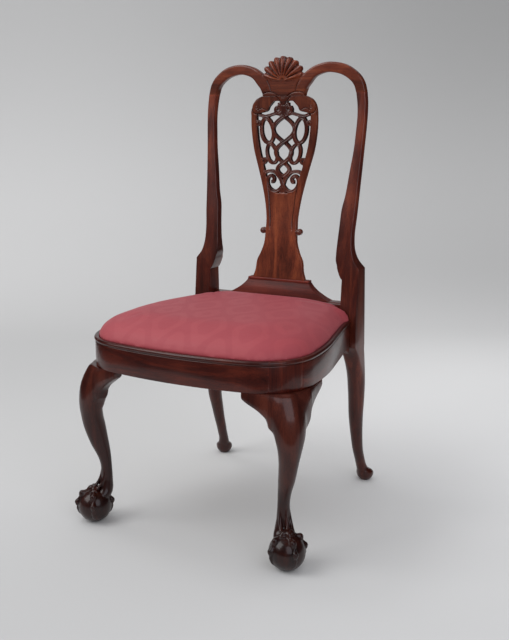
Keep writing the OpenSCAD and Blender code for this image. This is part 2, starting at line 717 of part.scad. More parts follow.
// Shoe: a cyma moulding on the rear rail that holds the splat's foot
shoe_rows = [
    [0, 1, 0], [0.1, 0.82, 0.02], [0.24, 0.62, 0.06], [0.42, 0.4, 0.2], [0.62, 0.22, 0.5],
    [0.8, 0.1, 0.85], [0.86, 0.08, 0.95]
];
module splat_shoe() {
    half = [for (r = shoe_rows) [mix(shoe_top_w, shoe_w, r[1]) / 2, rear_top + shoe_h * r[0]]];
    lip = [[shoe_top_w / 2 + 3, rear_top + shoe_h * 0.87], [shoe_top_w / 2 + 3, rear_top + shoe_h - 1],
        [shoe_top_w / 2 + 2, rear_top + shoe_h]];
    right = concat(half, lip);
    front = concat(
        [for (r = shoe_rows) [rear_front + 2 + shoe_slope * r[2], rear_top + shoe_h * r[0]]],
        [[rear_front + shoe_slope + 0.4, rear_top + shoe_h * 0.87],
            [rear_front + shoe_slope + 0.4, rear_top + shoe_h]]
    );
    color(dark_mahogany)
        difference() {
            intersection() {
                translate([0, rear_back, 0])
                    rotate([90, 0, 0])
                        linear_extrude(rear_wall + 2)
                            polygon(both_sides(right));
                translate([-shoe_w / 2 - 1, 0, 0])
                    rotate([90, 0, 90])
                        linear_extrude(shoe_w + 2)
                            polygon(concat(front, [[rear_back, rear_top + shoe_h], [rear_back, rear_top]]));
            }
            splat_foot_tongue(fit);
        }
}

// Splat: half widths up its length, and how its face leans back
splat_rows = [
    [0, foot_w / 2], [0.043, foot_w / 2 - 6], [0.099, foot_w / 2 - 9.5], [0.142, waist_w / 2 + 9.5],
    [0.202, waist_w / 2 + 1.5], [0.284, waist_w / 2], [0.337, waist_w / 2],
    [0.429, mix(waist_w, splat_w, 0.12) / 2], [0.525, mix(waist_w, splat_w, 0.33) / 2],
    [0.614, mix(waist_w, splat_w, 0.57) / 2], [0.711, mix(waist_w, splat_w, 0.83) / 2],
    [0.81, splat_w / 2 - 1.2], [0.887, splat_w / 2],
    [0.947, splat_w / 2 - 3], [0.983, splat_w / 2 - 13], [1, neck_w / 2 + 4]
];
lean_rows = [[0, 0], [0.13, 0.24], [0.26, 0.46], [0.38, 0.67], [0.52, 0.83], [0.72, 0.96], [0.9, 1], [1, 1]];
crest_front = post_y + back_rake - crest_bow;
splat_foot_y = rear_front + shoe_slope + 3;
function splat_half(z) = smooth(splat_rows, (z - splat_z0) / (splat_z1 - splat_z0));
function splat_front(z) =
    mix(splat_foot_y, crest_front + 2, smooth(lean_rows, (z - splat_z0) / (splat_z1 - splat_z0)));
splat_heights = [for (i = [0:36]) mix(splat_z0, splat_z1, i / 36)];

pierce_z0 = splat_z0 + pierce_z;
pierce_z1 = splat_z1 - 11;
strap_z0 = pierce_z0 + 24;
strap_z1 = pierce_z1 - 24;
field_rows = [
    [0, 10], [0.03, 22], [0.09, 32], [0.16, 60], [0.84, 90], [0.872, 60], [0.89, 43], [0.94, 36], [1, 24]
];
function field_half(z) =
    min(splat_half(z) - border_w, smooth(field_rows, (z - pierce_z0) / (pierce_z1 - pierce_z0)));
field_heights = [for (i = [0:24]) mix(pierce_z0, pierce_z1, i / 24)];

function both_sides(right) = concat(right, [for (i = [len(right) - 1:-1:0]) [-right[i][0], right[i][1]]]);

// Flat strap of width w along a line of points
function strap_outline(p, w) =
    let (
        n = len(p),
        d = [for (i = [0:n - 1]) let (v = p[min(i + 1, n - 1)] - p[max(i - 1, 0)]) v / norm(v)],
        left = [for (i = [0:n - 1]) p[i] + w / 2 * [-d[i][1], d[i][0]]],
        right = [for (i = [n - 1:-1:0]) p[i] - w / 2 * [-d[i][1], d[i][0]]]
    )
    concat(left, right);
// Strand that swings a share of the field's half width to and fro, a number of half turns over its height
function strap_line(share, turns, phase, side) = [
    for (i = [0:12 * turns])
        let (t = i / (12 * turns), z = mix(strap_z0, strap_z1, t))
        [side * share * field_half(z) * cos(180 * turns * t + phase), z]
];

module straps() {
    for (side = [1, -1]) {
        polygon(strap_outline(strap_line(1, strap_turns, 0, side), strap_w));
        polygon(strap_outline(strap_line(inner_share, strap_turns + 1, -90, side), strap_w));
    }
}

module strap_ends() {
    r = strap_w;
    translate([-strap_w / 2, pierce_z0 - 2]) square([strap_w, strap_z0 - pierce_z0 + 4]);
    translate([-strap_w / 2, strap_z1 - 2]) square([strap_w, pierce_z1 - strap_z1 + 4]);
    for (side = [1, -1], z = [pierce_z0 + r + 4, pierce_z1 - r - 4])
        translate([side * (strap_w / 2 + r - 1.5), z]) volute(r);
    for (side = [1, -1], t = [1 : 2 : 2 * strap_turns - 1]) {
        z = mix(strap_z0, strap_z1, t / (2 * strap_turns));
        translate([side * (field_half(z) - r + 2), z]) volute(r);
    }
}

module volute(r) {
    difference() {
        circle(r, $fn = 24);
        circle(r * 0.4, $fn = 16);
    }
}

// Splat: cut from a board to the vase outline, bent to the sitter's back and pierced with strapwork
module splat() {
    depth = crest_front - splat_foot_y + splat_t + 8;
    outline = both_sides([for (z = splat_heights) [splat_half(z), z]]);
    profile = concat(
        [for (z = splat_heights) [splat_front(z), z]],
        [for (i = [len(splat_heights) - 1:-1:0]) [splat_front(splat_heights[i]) + splat_t, splat_heights[i]]]
    );
    color(mahogany) {
        intersection() {
            translate([0, splat_foot_y + depth, 0])
                rotate([90, 0, 0])
                    linear_extrude(depth + 4) {
                        difference() {
                            union() {
                                polygon(outline);
                                for (side = [1, -1])
                                    translate([side * (waist_w / 2 + 0.42 * boss_d), splat_z0 + boss_z])
                                        circle(d = boss_d, $fn = 28);
                            }
                            polygon(both_sides([for (z = field_heights) [field_half(z), z]]));
                        }
                        straps();
                        strap_ends();
                    }
            translate([-splat_w, 0, 0])
                rotate([90, 0, 90])
                    linear_extrude(2 * splat_w) polygon(profile);
        }
        splat_top_tongue();
        splat_foot_tongue();
    }
}

// Yoke of the crest: rows are [step, x, height, width, depth, front], from the stile to the neck
stile_top_x = stile_out(crest_z) - (stile_w + 2.5) / 2;
yoke_rows = [
    [0, stile_top_x, crest_z, stile_w + 2.5, stile_d, crest_front + crest_bow],
    [1, stile_top_x * 0.967, overall_h - 63, yoke_w, stile_d, crest_front + crest_bow],
    [2, stile_top_x * 0.897, overall_h - 47, yoke_w + 0.5, crest_d + 1, crest_front + crest_bow],
    [3, stile_top_x * 0.768, overall_h - 32.5, yoke_w + 1, crest_d, crest_front + 0.8 * crest_bow],
    [4, stile_top_x * 0.602, overall_h - 27, yoke_w, crest_d, crest_front + 0.5 * crest_bow],
    [5, stile_top_x * 0.467, overall_h - 31.5, yoke_w, crest_d, crest_front + 0.25 * crest_bow],
    [6, neck_w / 2 + 18, overall_h - 40, yoke_w + 1, crest_d, crest_front],
    [7, neck_w / 2 + 4, overall_h - 54, yoke_w + 4, crest_d, crest_front],
    [8, neck_w / 2 - 7, overall_h - 70, yoke_w, crest_d, crest_front]
];
function yoke_point(t) = [smooth(yoke_rows, t, 1), 0, smooth(yoke_rows, t, 2)];
function yoke_ring(t) =
    let (
        v = t == 0 ? [0, 0, 1] : yoke_point(min(t + 0.05, 8)) - yoke_point(t - 0.05),
        d = v / norm(v),
        across = [d[2], 0, -d[0]],
        w = smooth(yoke_rows, t, 3),
        y = smooth(yoke_rows, t, 5),
        ring = block_ring(-w / 2, w / 2, y, y + smooth(yoke_rows, t, 4), 4, 8)
    )
    [for (p = ring) yoke_point(t) + p[0] * across + [0, p[1], 0]];
module yoke() {
    loft([for (i = [0:16]) yoke_ring(i * 0.5)]);
}

// Shell: a fan of lobes round a point on the crest's face
lobe_a = 19;
fan_a = 21 * lobe_a / 4;
function fan_r(a) =
    let (over = max(abs(a) - lobe_a * shell_lobes / 2 + 4, 0) / (fan_a - lobe_a * shell_lobes / 2 + 4))
    shell_r * (0.93 + 0.07 * abs(cos(180 * a / lobe_a))) * (1 - 0.6 * over * over);
function fan_front(a, rho) =
    crest_front + 1 - shell_relief * (0.4 + 0.6 * abs(cos(180 * a / lobe_a))) * pow(sin(25 + 130 * rho), 2);
function fan_ring(a) =
    let (
        out = [sin(a), 0, cos(a)],
        base = [0, 0, shell_z],
        r = fan_r(a),
        back = crest_front + crest_d * 0.65
    )
    concat(
        [base + 0.1 * r * out + [0, fan_front(a, 0.1), 0], base + 0.1 * r * out + [0, back, 0],
            base + 0.97 * r * out + [0, back, 0], base + r * out + [0, back - 3, 0]],
        [for (rho = [1, 0.9, 0.72, 0.5, 0.3]) base + rho * r * out + [0, fan_front(a, rho), 0]]
    );
module shell() {
    loft([for (i = [-21:21]) fan_ring(i * lobe_a / 4)]);
}

module crest_panel() {
    n = neck_w / 2;
    right = [[n, splat_z1], [n + 2, splat_z1 + 8], [n + 7, splat_z1 + 20], [n + 8, splat_z1 + 34],
        [n - 3, splat_z1 + 50]];
    translate([0, crest_front + crest_d, 0])
        rotate([90, 0, 0])
            linear_extrude(crest_d)
                polygon(both_sides(right));
}

// Crest rail: the yoke's two arches, the neck between them and the shell, carved from one board
module crest_rail() {
    color(crest_mahogany)
        difference() {
            union() {
                yoke();
                on_left() yoke();
                crest_panel();
                shell();
            }
            stile_tongue(fit);
            on_left() stile_tongue(fit);
            splat_top_tongue(fit);
        }
}

// Slip seat: its outline lies a set distance inside the rim and is notched round the rear posts
slip_in = lip_w + seat_gap;
slip_a = 72;
slip_z = ledge_z + lay;
slip_top = slip_z + slip_t;
notch_y = post_y - seat_gap - lay;
notch_x = post_in - seat_gap;
slip_back = rear_front - seat_gap;
function inset(s, d) = [s[0] - s[2] * d, s[1] - s[3] * d];
function seat_right(d) = concat(
    [for (i = [0:4]) inset(bow_at(bow_a * i / 5), d)],
    [for (i = [0:3]) inset(corner_at(mix(bow_a, slip_a, i / 4)), d)],
    [for (i = [0:4]) inset(corner_at(mix(slip_a, 90, i / 4)), d)],
    [for (i = [1:4]) inset(side_arc_at(90 + side_slant * i / 4), d)],
    [for (i = [4:-1:1]) inset(hollow_at(90 + mix(end_slant, side_slant, i / 4)), d)],
    [[side_end_x - d, notch_y - (d - slip_in)], [notch_x - (d - slip_in), notch_y - (d - slip_in)],
        [notch_x - (d - slip_in), slip_back - (d - slip_in)]]
);
function seat_outline(d) =
    let (r = seat_right(d))
    concat(r, [for (i = [len(r) - 1:-1:1]) [-r[i][0], r[i][1]]]);

slip_d = slip_in + cover_t + lay;
slip_section = [
    [slip_d, slip_z], [slip_d + slip_w, slip_z], [slip_d + slip_w, slip_top],
    [slip_d + 2, slip_top], [slip_d, slip_top - 2]
];
module slip_tongue(g = 0) {
    st = corner_at(slip_a);
    translate([st[0], st[1], 0])
        rotate([0, 0, atan2(st[2], -st[3])])
            translate([-slip_tenon - g, slip_d + slip_w / 4 - g, slip_z + slip_cheek - g])
                cube([slip_tenon + 1 + g, slip_w / 2 + 2 * g, slip_t - 2 * slip_cheek + 2 * g]);
}

module slip_frame_front() {
    color(oak)
        difference() {
            loft(run(front_path(slip_a), slip_section));
            slip_tongue(fit);
            on_left() slip_tongue(fit);
        }
}

module slip_side_body() {
    loft(run(side_path(slip_a, post_y - notch_y + slip_d - slip_in), slip_section, true));
}

module slip_rear_tongue(g = 0) {
    x = side_end_x - slip_d - slip_w;
    translate([x - 3, slip_back - slip_w + 4 - g, slip_z + slip_cheek - g])
        cube([slip_tenon + 4 + g, slip_w / 3 + 2 * g, slip_t - 2 * slip_cheek + 2 * g]);
}

module slip_side() {
    color(oak)
        difference() {
            union() {
                slip_side_body();
                slip_tongue();
            }
            slip_rear_tongue(fit);
        }
}

module slip_frame_rear() {
    x = side_end_x - slip_d - slip_w + 12;
    inner = slip_d - slip_in;
    color(oak) {
        difference() {
            translate([0, 0, slip_z])
                linear_extrude(slip_t)
                    polygon(both_sides([
                        [x, slip_back - inner - slip_w], [x, notch_y - inner],
                        [notch_x - inner, notch_y - inner], [notch_x - inner, slip_back - inner]
                    ]));
            slip_side_body();
            on_left() slip_side_body();
        }
        slip_rear_tongue();
        on_left() slip_rear_tongue();
    }
}

pad_y = front_y + seat_d / 2 + 22;
web_step = (seat_w - 2 * (slip_d + slip_w)) / (web_n + 0.6);
module web_bounds(z) {
    translate([0, 0, z]) linear_extrude(web_t) polygon(seat_outline(slip_d + web_set));
}

module webbing_front_to_back() {
    color(linen)
        for (i = [0:web_n - 1])
            intersection() {
                web_bounds(slip_top);
                translate([(i - (web_n - 1) / 2) * web_step - web_w / 2, front_y, slip_top - 1])
                    cube([web_w, overall_d, web_t + 2]);
            }
}

module webbing_side_to_side() {
    color(linen)
        for (i = [0:web_n - 1])
            intersection() {
                web_bounds(slip_top + web_t);
                translate([-seat_w / 2, pad_y + (i - (web_n - 1) / 2) * 1.1 * web_step - web_w / 2, slip_top])
                    cube([seat_w, web_w, web_t + 2]);
            }
}

module sackcloth() {
    color(linen)
        translate([0, 0, slip_top + 2 * web_t])
            linear_extrude(sack_t) polygon(seat_outline(slip_d + sack_set));
}

// Crowned form over the seat outline at depth d, from height z0, its top lowered by less
crown_rows = [
    [1, 0], [0.994, 0.2], [0.98, 0.4], [0.96, 0.55], [0.93, 0.68], [0.88, 0.79], [0.8, 0.88], [0.65, 0.96],
    [0.4, 0.99], [0.15, 1]
];
module crowned(d, z0, less) {
    edge = seat_h + seat_edge - less;
    top = seat_h + seat_crown - less;
    line = seat_outline(d);
    function ring(r, z) = [for (p = line) [p[0] * r, pad_y + (p[1] - pad_y) * r, z]];
    loft(concat(
        [ring(1, z0)],
        [for (row = crown_rows) ring(row[0], mix(edge, top, row[1]))]
    ));
}

module seat_stuffing() {
    color(linen) crowned(slip_d, slip_top + 2 * web_t + sack_t, cover_t + lay);
}

module seat_cover() {
    color(silk)
        difference() {
            crowned(slip_in, slip_z + 0.5, 0);
            crowned(slip_in + cover_t, slip_z - 1, cover_t);
        }
}

crest_rail();
on_left() rear_post();  // left_rear_post
rear_post();  // right_rear_post
splat();
splat_shoe();
rear_seat_rail();
front_seat_rail();
on_left() side_rail();  // left_side_rail
side_rail();  // right_side_rail
on_left() front_leg();  // front_left_leg
front_leg();  // front_right_leg
on_left() knee_bracket(front_bracket, -1);  // left_knee_bracket_front
on_left() knee_bracket(side_bracket, 1);  // left_knee_bracket_side
knee_bracket(front_bracket, -1);  // right_knee_bracket_front
knee_bracket(side_bracket, 1);  // right_knee_bracket_side
on_left() rear_bracket_block();  // left_rear_bracket
rear_bracket_block();  // right_rear_bracket
on_left() front_block();  // front_left_block
front_block();  // front_right_block
on_left() rear_block();  // rear_left_block
rear_block();  // rear_right_block
slip_frame_front();
slip_frame_rear();
on_left() slip_side();  // slip_frame_left
slip_side();  // slip_frame_right
webbing_front_to_back();
webbing_side_to_side();
sackcloth();
seat_stuffing();
seat_cover();
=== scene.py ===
"""Looks of a carved mahogany side chair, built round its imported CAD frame.

Sizes are millimetres in the frame's axes: the floor is z = 0, the chair faces -y and x = 0 is its
plane of symmetry. A mesh is scaled to metres when its object is made.
"""

import logging
import math
from dataclasses import dataclass
from enum import Enum
from typing import Any, Sequence

import bmesh
import bpy
import numpy as np
from mathutils import Matrix, Vector


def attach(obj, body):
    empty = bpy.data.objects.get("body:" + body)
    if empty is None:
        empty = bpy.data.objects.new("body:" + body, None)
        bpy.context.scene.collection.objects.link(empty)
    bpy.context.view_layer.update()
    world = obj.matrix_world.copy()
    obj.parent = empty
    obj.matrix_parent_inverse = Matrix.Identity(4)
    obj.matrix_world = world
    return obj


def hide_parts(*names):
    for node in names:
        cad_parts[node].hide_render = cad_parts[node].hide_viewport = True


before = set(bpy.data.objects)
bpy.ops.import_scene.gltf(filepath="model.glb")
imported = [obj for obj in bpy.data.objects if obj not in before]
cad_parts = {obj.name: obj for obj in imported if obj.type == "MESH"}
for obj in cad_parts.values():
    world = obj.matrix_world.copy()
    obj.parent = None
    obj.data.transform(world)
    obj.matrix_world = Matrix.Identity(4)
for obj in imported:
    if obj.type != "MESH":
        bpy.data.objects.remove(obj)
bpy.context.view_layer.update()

MM = 0.001
LOG = logging.getLogger("chair")
Array = np.ndarray
Material = bpy.types.Material
Piece = bpy.types.Object
Socket = bpy.types.NodeSocket
Tree = bpy.types.NodeTree
Rows = Sequence[Sequence[float]]
BACK = np.array([0.0, 1.0, 0.0])
UP = np.array([0.0, 0.0, 1.0])


# Meshes and how pieces are made from them


@dataclass
class Shell:
    """Mesh under construction: points in millimetres, and faces as tuples of point numbers."""

    points: Array
    faces: list[tuple[int, ...]]

    def mirrored(self) -> "Shell":
        """The same mesh on the other side of the chair."""
        return Shell(self.points * np.array([-1.0, 1.0, 1.0]), [f[::-1] for f in self.faces])


def merged(shells: Sequence[Shell]) -> Shell:
    """Puts several shells in one.

    Args:
        shells: The shells, which may overlap.

    Returns:
        One shell with all their points and faces.
    """
    faces: list[tuple[int, ...]] = []
    start = 0
    for shell in shells:
        faces += [tuple(i + start for i in f) for f in shell.faces]
        start += len(shell.points)
    return Shell(np.vstack([s.points for s in shells]), faces)


def loft(rings: Any, looped: bool = False) -> Shell:
    """Closed skin through a stack of rings, each anticlockwise as seen from the last ring.

    Args:
        rings: Points with shape (rings, points in a ring, 3).
        looped: Whether the last ring joins the first again; otherwise both are filled.

    Returns:
        The skin.
    """
    stack = np.asarray(rings)
    m, n = stack.shape[:2]
    faces: list[tuple[int, ...]] = [
        (j * n + i, j * n + (i + 1) % n, (j + 1) % m * n + (i + 1) % n, (j + 1) % m * n + i)
        for j in range(m if looped else m - 1)
        for i in range(n)
    ]
    if not looped:
        faces += [tuple(range(n - 1, -1, -1)), tuple(range((m - 1) * n, m * n))]
    return Shell(stack.reshape(-1, 3), faces)


def smooth(rows: Rows, keys: Any, column: int = 1) -> Array:
    """Smooth curve through rows of a key and values, as the part's source draws it.

    Args:
        rows: Rows [key, value, ...] with rising keys.
        keys: Where to read the curve.
        column: Which value of the rows to read.

    Returns:
        The values at the keys.
    """
    table = np.asarray(rows, float)
    key, value = table[:, 0], table[:, column]
    low = np.maximum(np.arange(len(key)) - 1, 0)
    high = np.minimum(np.arange(len(key)) + 1, len(key) - 1)
    slope = (value[high] - value[low]) / (key[high] - key[low])
    k = np.clip(np.asarray(keys, float), key[0], key[-1])
    i = np.clip(np.searchsorted(key, k, side="right") - 1, 0, len(key) - 2)
    h = key[i + 1] - key[i]
    t = (k - key[i]) / h
    return (
        (2 * t**3 - 3 * t**2 + 1) * value[i]
        + (t**3 - 2 * t**2 + t) * h * slope[i]
        + (3 * t**2 - 2 * t**3) * value[i + 1]
        + (t**3 - t**2) * h * slope[i + 1]
    )


def mix(a: Any, b: Any, t: Any) -> Any:
    """Value a share t of the way from a to b."""
    return a + (b - a) * t


def level(line: Array, z: float) -> Array:
    """Points [x, y] of a plan at a height."""
    return np.column_stack([line, np.full(len(line), z)])


def turned(angle: float) -> tuple[float, float]:
    """Sine and cosine of an angle in degrees."""
    return math.sin(math.radians(angle)), math.cos(math.radians(angle))


def tube(middle: Array, size: float, out: Array, beside: Array, steps: int) -> Array:
    """Ring of a tube.

    Args:
        middle: Its middle.
        size: Its radius.
        out: Its first half axis, of length 1 where it is round.
        beside: Its second half axis.
        steps: Points in it.

    Returns:
        Its points.
    """
    turns = np.radians(np.arange(0, 360, 360 / steps))[:, None]
    return middle + size * (np.cos(turns) * out + np.sin(turns) * beside)


def edges(shell: Shell) -> tuple[Array, Array]:
    """Each face's edges as pairs of point numbers, and how many start at each point.

    Args:
        shell: The shell.

    Returns:
        The pairs and the counts.
    """
    pairs = np.array([[a, b] for f in shell.faces for a, b in zip(f, f[1:] + f[:1])])
    count = np.bincount(pairs[:, 0], minlength=len(shell.points))
    return pairs, np.maximum(count, 1)[:, None]


def pulled(points: Array, pairs: Array, count: Array) -> Array:
    """Way from each point to the middle of its neighbours.

    Args:
        points: The points.
        pairs: Edges as pairs of point numbers.
        count: How many edges start at each point.

    Returns:
        The ways.
    """
    near = points[pairs[:, 1]]
    total = np.stack([np.bincount(pairs[:, 0], near[:, c], len(points)) for c in range(3)], -1)
    return total / count - points


def block_ring(x0: float, x1: float, y0: float, y1: float, front_r: float, back_r: float, z: float) -> Array:
    """Level rounded rectangle, with its own corner radii at the front and the back.

    Args:
        x0: Left side.
        x1: Right side.
        y0: Front.
        y1: Back.
        front_r: Radius of the two front corners.
        back_r: Radius of the two back corners.
        z: Height.

    Returns:
        Its 32 points, anticlockwise from above.
    """
    turn = np.radians(np.linspace(0, 90, 8))
    corners = (
        (x0 + front_r, y0 + front_r, front_r, 180),
        (x1 - front_r, y0 + front_r, front_r, 270),
        (x1 - back_r, y1 - back_r, back_r, 0),
        (x0 + back_r, y1 - back_r, back_r, 90),
    )
    ring = [
        [cx + r * math.cos(math.radians(a0) + a), cy + r * math.sin(math.radians(a0) + a), z]
        for cx, cy, r, a0 in corners
        for a in turn
    ]
    return np.array(ring)


def swept(path: Array, across: Array, out: Array, section: Array) -> Shell:
    """Skin of a section run along a path.

    Args:
        path: Points of the path, shape (m, 3).
        across: Unit vectors of the section's first axis along the path, shape (m, 3).
        out: Unit vectors of its second axis, shape (m, 3).
        section: Points of the section, shape (n, 2) or (m, n, 2).

    Returns:
        The closed skin.
    """
    if section.ndim == 2:
        section = np.repeat(section[None], len(path), axis=0)
    rings = path[:, None] + section[..., :1] * across[:, None] + section[..., 1:] * out[:, None]
    return loft(rings)


def ball_shell(centre: Sequence[float], radii: Sequence[float], steps: int = 40) -> Shell:
    """Ellipsoid as a stack of rings.

    Args:
        centre: Its centre.
        radii: Its half sizes along x, y and z.
        steps: Points round it.

    Returns:
        The closed skin.
    """
    a = np.linspace(0, 2 * np.pi, steps, endpoint=False)
    rise = np.linspace(-np.pi / 2 + 0.03, np.pi / 2 - 0.03, steps // 2)
    ring = np.stack([np.cos(a), np.sin(a)], -1)
    rings = np.empty((len(rise), steps, 3))
    rings[..., :2] = np.cos(rise)[:, None, None] * ring
    rings[..., 2] = np.sin(rise)[:, None]
    return loft(rings * np.array(radii) + np.array(centre))


def new_mesh(name: str, shell: Shell) -> Piece:
    """Object with the shell's mesh in metres, its faces turned outwards and shaded smooth.

    Args:
        name: Name of the object.
        shell: The mesh.

    Returns:
        The object, linked to the scene.
    """
    mesh = bpy.data.meshes.new(name)
    mesh.from_pydata((shell.points * MM).tolist(), [], shell.faces)
    work = bmesh.new()
    work.from_mesh(mesh)
    bmesh.ops.recalc_face_normals(work, faces=work.faces)
    work.to_mesh(mesh)
    work.free()
    mesh.shade_smooth()
    piece = bpy.data.objects.new(name, mesh)
    bpy.context.scene.collection.objects.link(piece)
    return piece


def read_mesh(piece: Piece) -> Shell:
    """The object's mesh with its modifiers applied, in millimetres; the object is removed.

    Args:
        piece: The object.

    Returns:
        Its mesh.
    """
    made = piece.evaluated_get(bpy.context.evaluated_depsgraph_get()).to_mesh()
    points = np.empty(len(made.vertices) * 3)
    made.vertices.foreach_get("co", points)
    faces = [tuple(p.vertices) for p in made.polygons]
    shell = Shell(points.reshape(-1, 3) / MM, faces)
    mesh = piece.data
    bpy.data.objects.remove(piece)
    bpy.data.meshes.remove(mesh)
    return shell


def relaxed(shell: Shell, rounds: int, weight: Any = 1.0) -> Shell:
    """Draws each point of a shell towards its neighbours.

    Args:
        shell: The shell, which is changed.
        rounds: How often the points are drawn.
        weight: How far, from 0 to 1, for all points or for each.

    Returns:
        The shell.
    """
    pairs, count = edges(shell)
    share = 0.5 * np.broadcast_to(weight, len(shell.points))[:, None]
    for _ in range(rounds):
        shell.points += share * pulled(shell.points, pairs, count)
    return shell


def filled(shell: Shell, rounds: int, weight: Array) -> Shell:
    """Fills the creases of a shell as a gouge would leave them, and leaves its convex forms alone.

    Args:
        shell: The shell, which is changed.
        rounds: How often the creases are filled a little.
        weight: How far, from 0 to 1, for each point.

    Returns:
        The shell.
    """
    triangles = np.array([[f[0], f[i], f[i + 1]] for f in shell.faces for i in range(1, len(f) - 1)])
    pairs, count = edges(shell)
    p = shell.points
    for _ in range(rounds):
        first, second, third = (p[triangles[:, k]] for k in range(3))
        flat = np.cross(second - first, third - first)
        out = np.zeros_like(p)
        for c in range(3):
            out[:, c] = sum(np.bincount(triangles[:, k], flat[:, c], len(p)) for k in range(3))
        out /= np.maximum(np.linalg.norm(out, axis=1), 1e-9)[:, None]
        rise = np.maximum((pulled(p, pairs, count) * out).sum(1), 0) * weight
        p += rise[:, None] * out
    return shell


def fused(shells: Sequence[Shell], voxel: float, relax: int) -> Shell:
    """Overlapping shells grown into one skin, as if carved from one piece of wood.

    Args:
        shells: Closed shells that overlap.
        voxel: Size of the mesh's squares.
        relax: Rounds of smoothing.

    Returns:
        The one skin.
    """
    piece = new_mesh("work", merged(shells))
    remesh = piece.modifiers.new("remesh", "REMESH")
    remesh.mode = "VOXEL"
    remesh.voxel_size = voxel * MM
    return relaxed(read_mesh(piece), relax)


def sawn(shell: Shell, cuts: Sequence[tuple[Array, Array]], above: float) -> list[Shell]:
    """Saws pieces off a shell, and closes the cut faces.

    Args:
        shell: The closed shell.
        cuts: A point and a direction for each cut; what lies beyond it in that direction comes off.
        above: Height under which nothing is sawn.

    Returns:
        What is left of the shell, then the pieces.
    """
    work = bmesh.new()
    points = [work.verts.new(v) for v in shell.points.tolist()]
    for f in shell.faces:
        work.faces.new([points[i] for i in f])
    parts = []
    for point, way in cuts:
        co, no = Vector(point), Vector(way)
        near = [f for f in work.faces if f.calc_center_median().z > above]
        lines, corners = {e for f in near for e in f.edges}, {v for f in near for v in f.verts}
        bmesh.ops.bisect_plane(work, geom=[*near, *lines, *corners], plane_co=co, plane_no=no)
        work.faces.index_update()
        middles = [f.calc_center_median() for f in work.faces]
        off = {i for i, m in enumerate(middles) if m.z > above and (m - co).dot(no) > 0}
        part = work.copy()
        for half, keep in ((work, False), (part, True)):
            half.faces.ensure_lookup_table()
            gone = [f for i, f in enumerate(half.faces) if (i in off) != keep]
            bmesh.ops.delete(half, geom=gone, context="FACES")
            bmesh.ops.holes_fill(half, edges=[e for e in half.edges if e.is_boundary], sides=0)
        parts.append(part)
    shells = []
    for half in [work, *parts]:
        half.verts.index_update()
        vertices = np.array([v.co[:] for v in half.verts])
        shells.append(Shell(vertices, [tuple(v.index for v in f.verts) for f in half.faces]))
        half.free()
    return shells


class Body(Enum):
    """The CAD bodies."""

    FRAME = "frame"
    SLIP_SEAT = "slip_seat"


def make(
    name: str,
    shell: Shell,
    material: Material,
    body: Body = Body.FRAME,
    slot: str = "mahogany",
    replaces: Sequence[str] = (),
    sharp: float = 38.0,
) -> Piece:
    """Makes a piece of the chair and ties it to the frame.

    Args:
        name: Name of the piece.
        shell: Its mesh.
        material: Its finish.
        body: The CAD body that it moves with.
        slot: Not used.
        replaces: The CAD nodes that it stands for.
        sharp: Angle in degrees above which an edge is shaded sharp.

    Returns:
        The piece.
    """
    piece = new_mesh(name, shell)
    piece.data.set_sharp_from_angle(angle=math.radians(sharp))
    piece.data.materials.append(material)
    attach(piece, body.value)
    if replaces:
        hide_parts(*replaces)
    LOG.info("%s: %d faces", name, len(shell.faces))
    return piece


# Finishes


def colour(code: str) -> tuple[float, float, float, float]:
    """Linear colour of an sRGB hex code such as #5a2a20."""
    parts = [int(code[i : i + 2], 16) / 255 for i in (1, 3, 5)]
    return (*(c / 12.92 if c <= 0.04045 else ((c + 0.055) / 1.055) ** 2.4 for c in parts), 1.0)


def settle(tree: Tree, node: bpy.types.Node, settings: dict[Any, Any]) -> None:
    """Gives a node its settings and links.

    Args:
        tree: The material's node tree.
        node: The node.
        settings: Lower-case keys set the node's own settings, and "stops" the stops of a ramp as pairs of
            place and colour. Other keys are input sockets: an output is linked to its socket, and any
            other value is set on it.
    """
    for key, value in settings.items():
        if key == "stops":
            while len(node.color_ramp.elements) < len(value):
                node.color_ramp.elements.new(0.5)
            for stop, (place, shade) in zip(node.color_ramp.elements, value):
                stop.position = place
                stop.color = shade if isinstance(shade, tuple) else (shade, shade, shade, 1)
        elif isinstance(key, str) and key.islower():
            setattr(node, key, value)
        elif isinstance(value, Socket):
            tree.links.new(value, node.inputs[key])
        else:
            node.inputs[key].default_value = value


def add(tree: Tree, kind: str, settings: dict[Any, Any] | None = None, out: str = "") -> Socket:
    """Adds a node.

    Args:
        tree: The material's node tree.
        kind: The node's type, without the ShaderNode before it.
        settings: Its settings and links, as settle takes them.
        out: The output that is wanted, where it isn't the first that the node uses.

    Returns:
        The output.
    """
    node = tree.nodes.new("ShaderNode" + kind)
    settle(tree, node, settings or {})
    return node.outputs[out] if out else next(o for o in node.outputs if o.enabled)


def new_material(name: str) -> tuple[Material, Tree, bpy.types.Node, Socket]:
    """Starts a material.

    Args:
        name: Its name.

    Returns:
        The material, its tree, its shader and the point of the piece in millimetres.
    """
    material = bpy.data.materials.new(name)
    material.use_nodes = True
    tree = material.node_tree
    place = add(tree, "TexCoord", out="Object")
    points = add(tree, "VectorMath", {"operation": "SCALE", "Scale": 1 / MM, 0: place})
    return material, tree, tree.nodes["Principled BSDF"], points


class Grain(Enum):
    """Which way the wood's grain runs, as the stretch of its figure along x, y and z."""

    UPRIGHT = (1.0, 1.0, 0.0)
    ACROSS = (0.0, 1.0, 1.0)
    DEPTH = (1.0, 0.0, 1.0)

    def scale(self, across: float, along: float) -> tuple[float, float, float]:
        """Pattern scale for features of a size across and along the grain, in millimetres."""
        return tuple(1 / across if v else 1 / along for v in self.value)


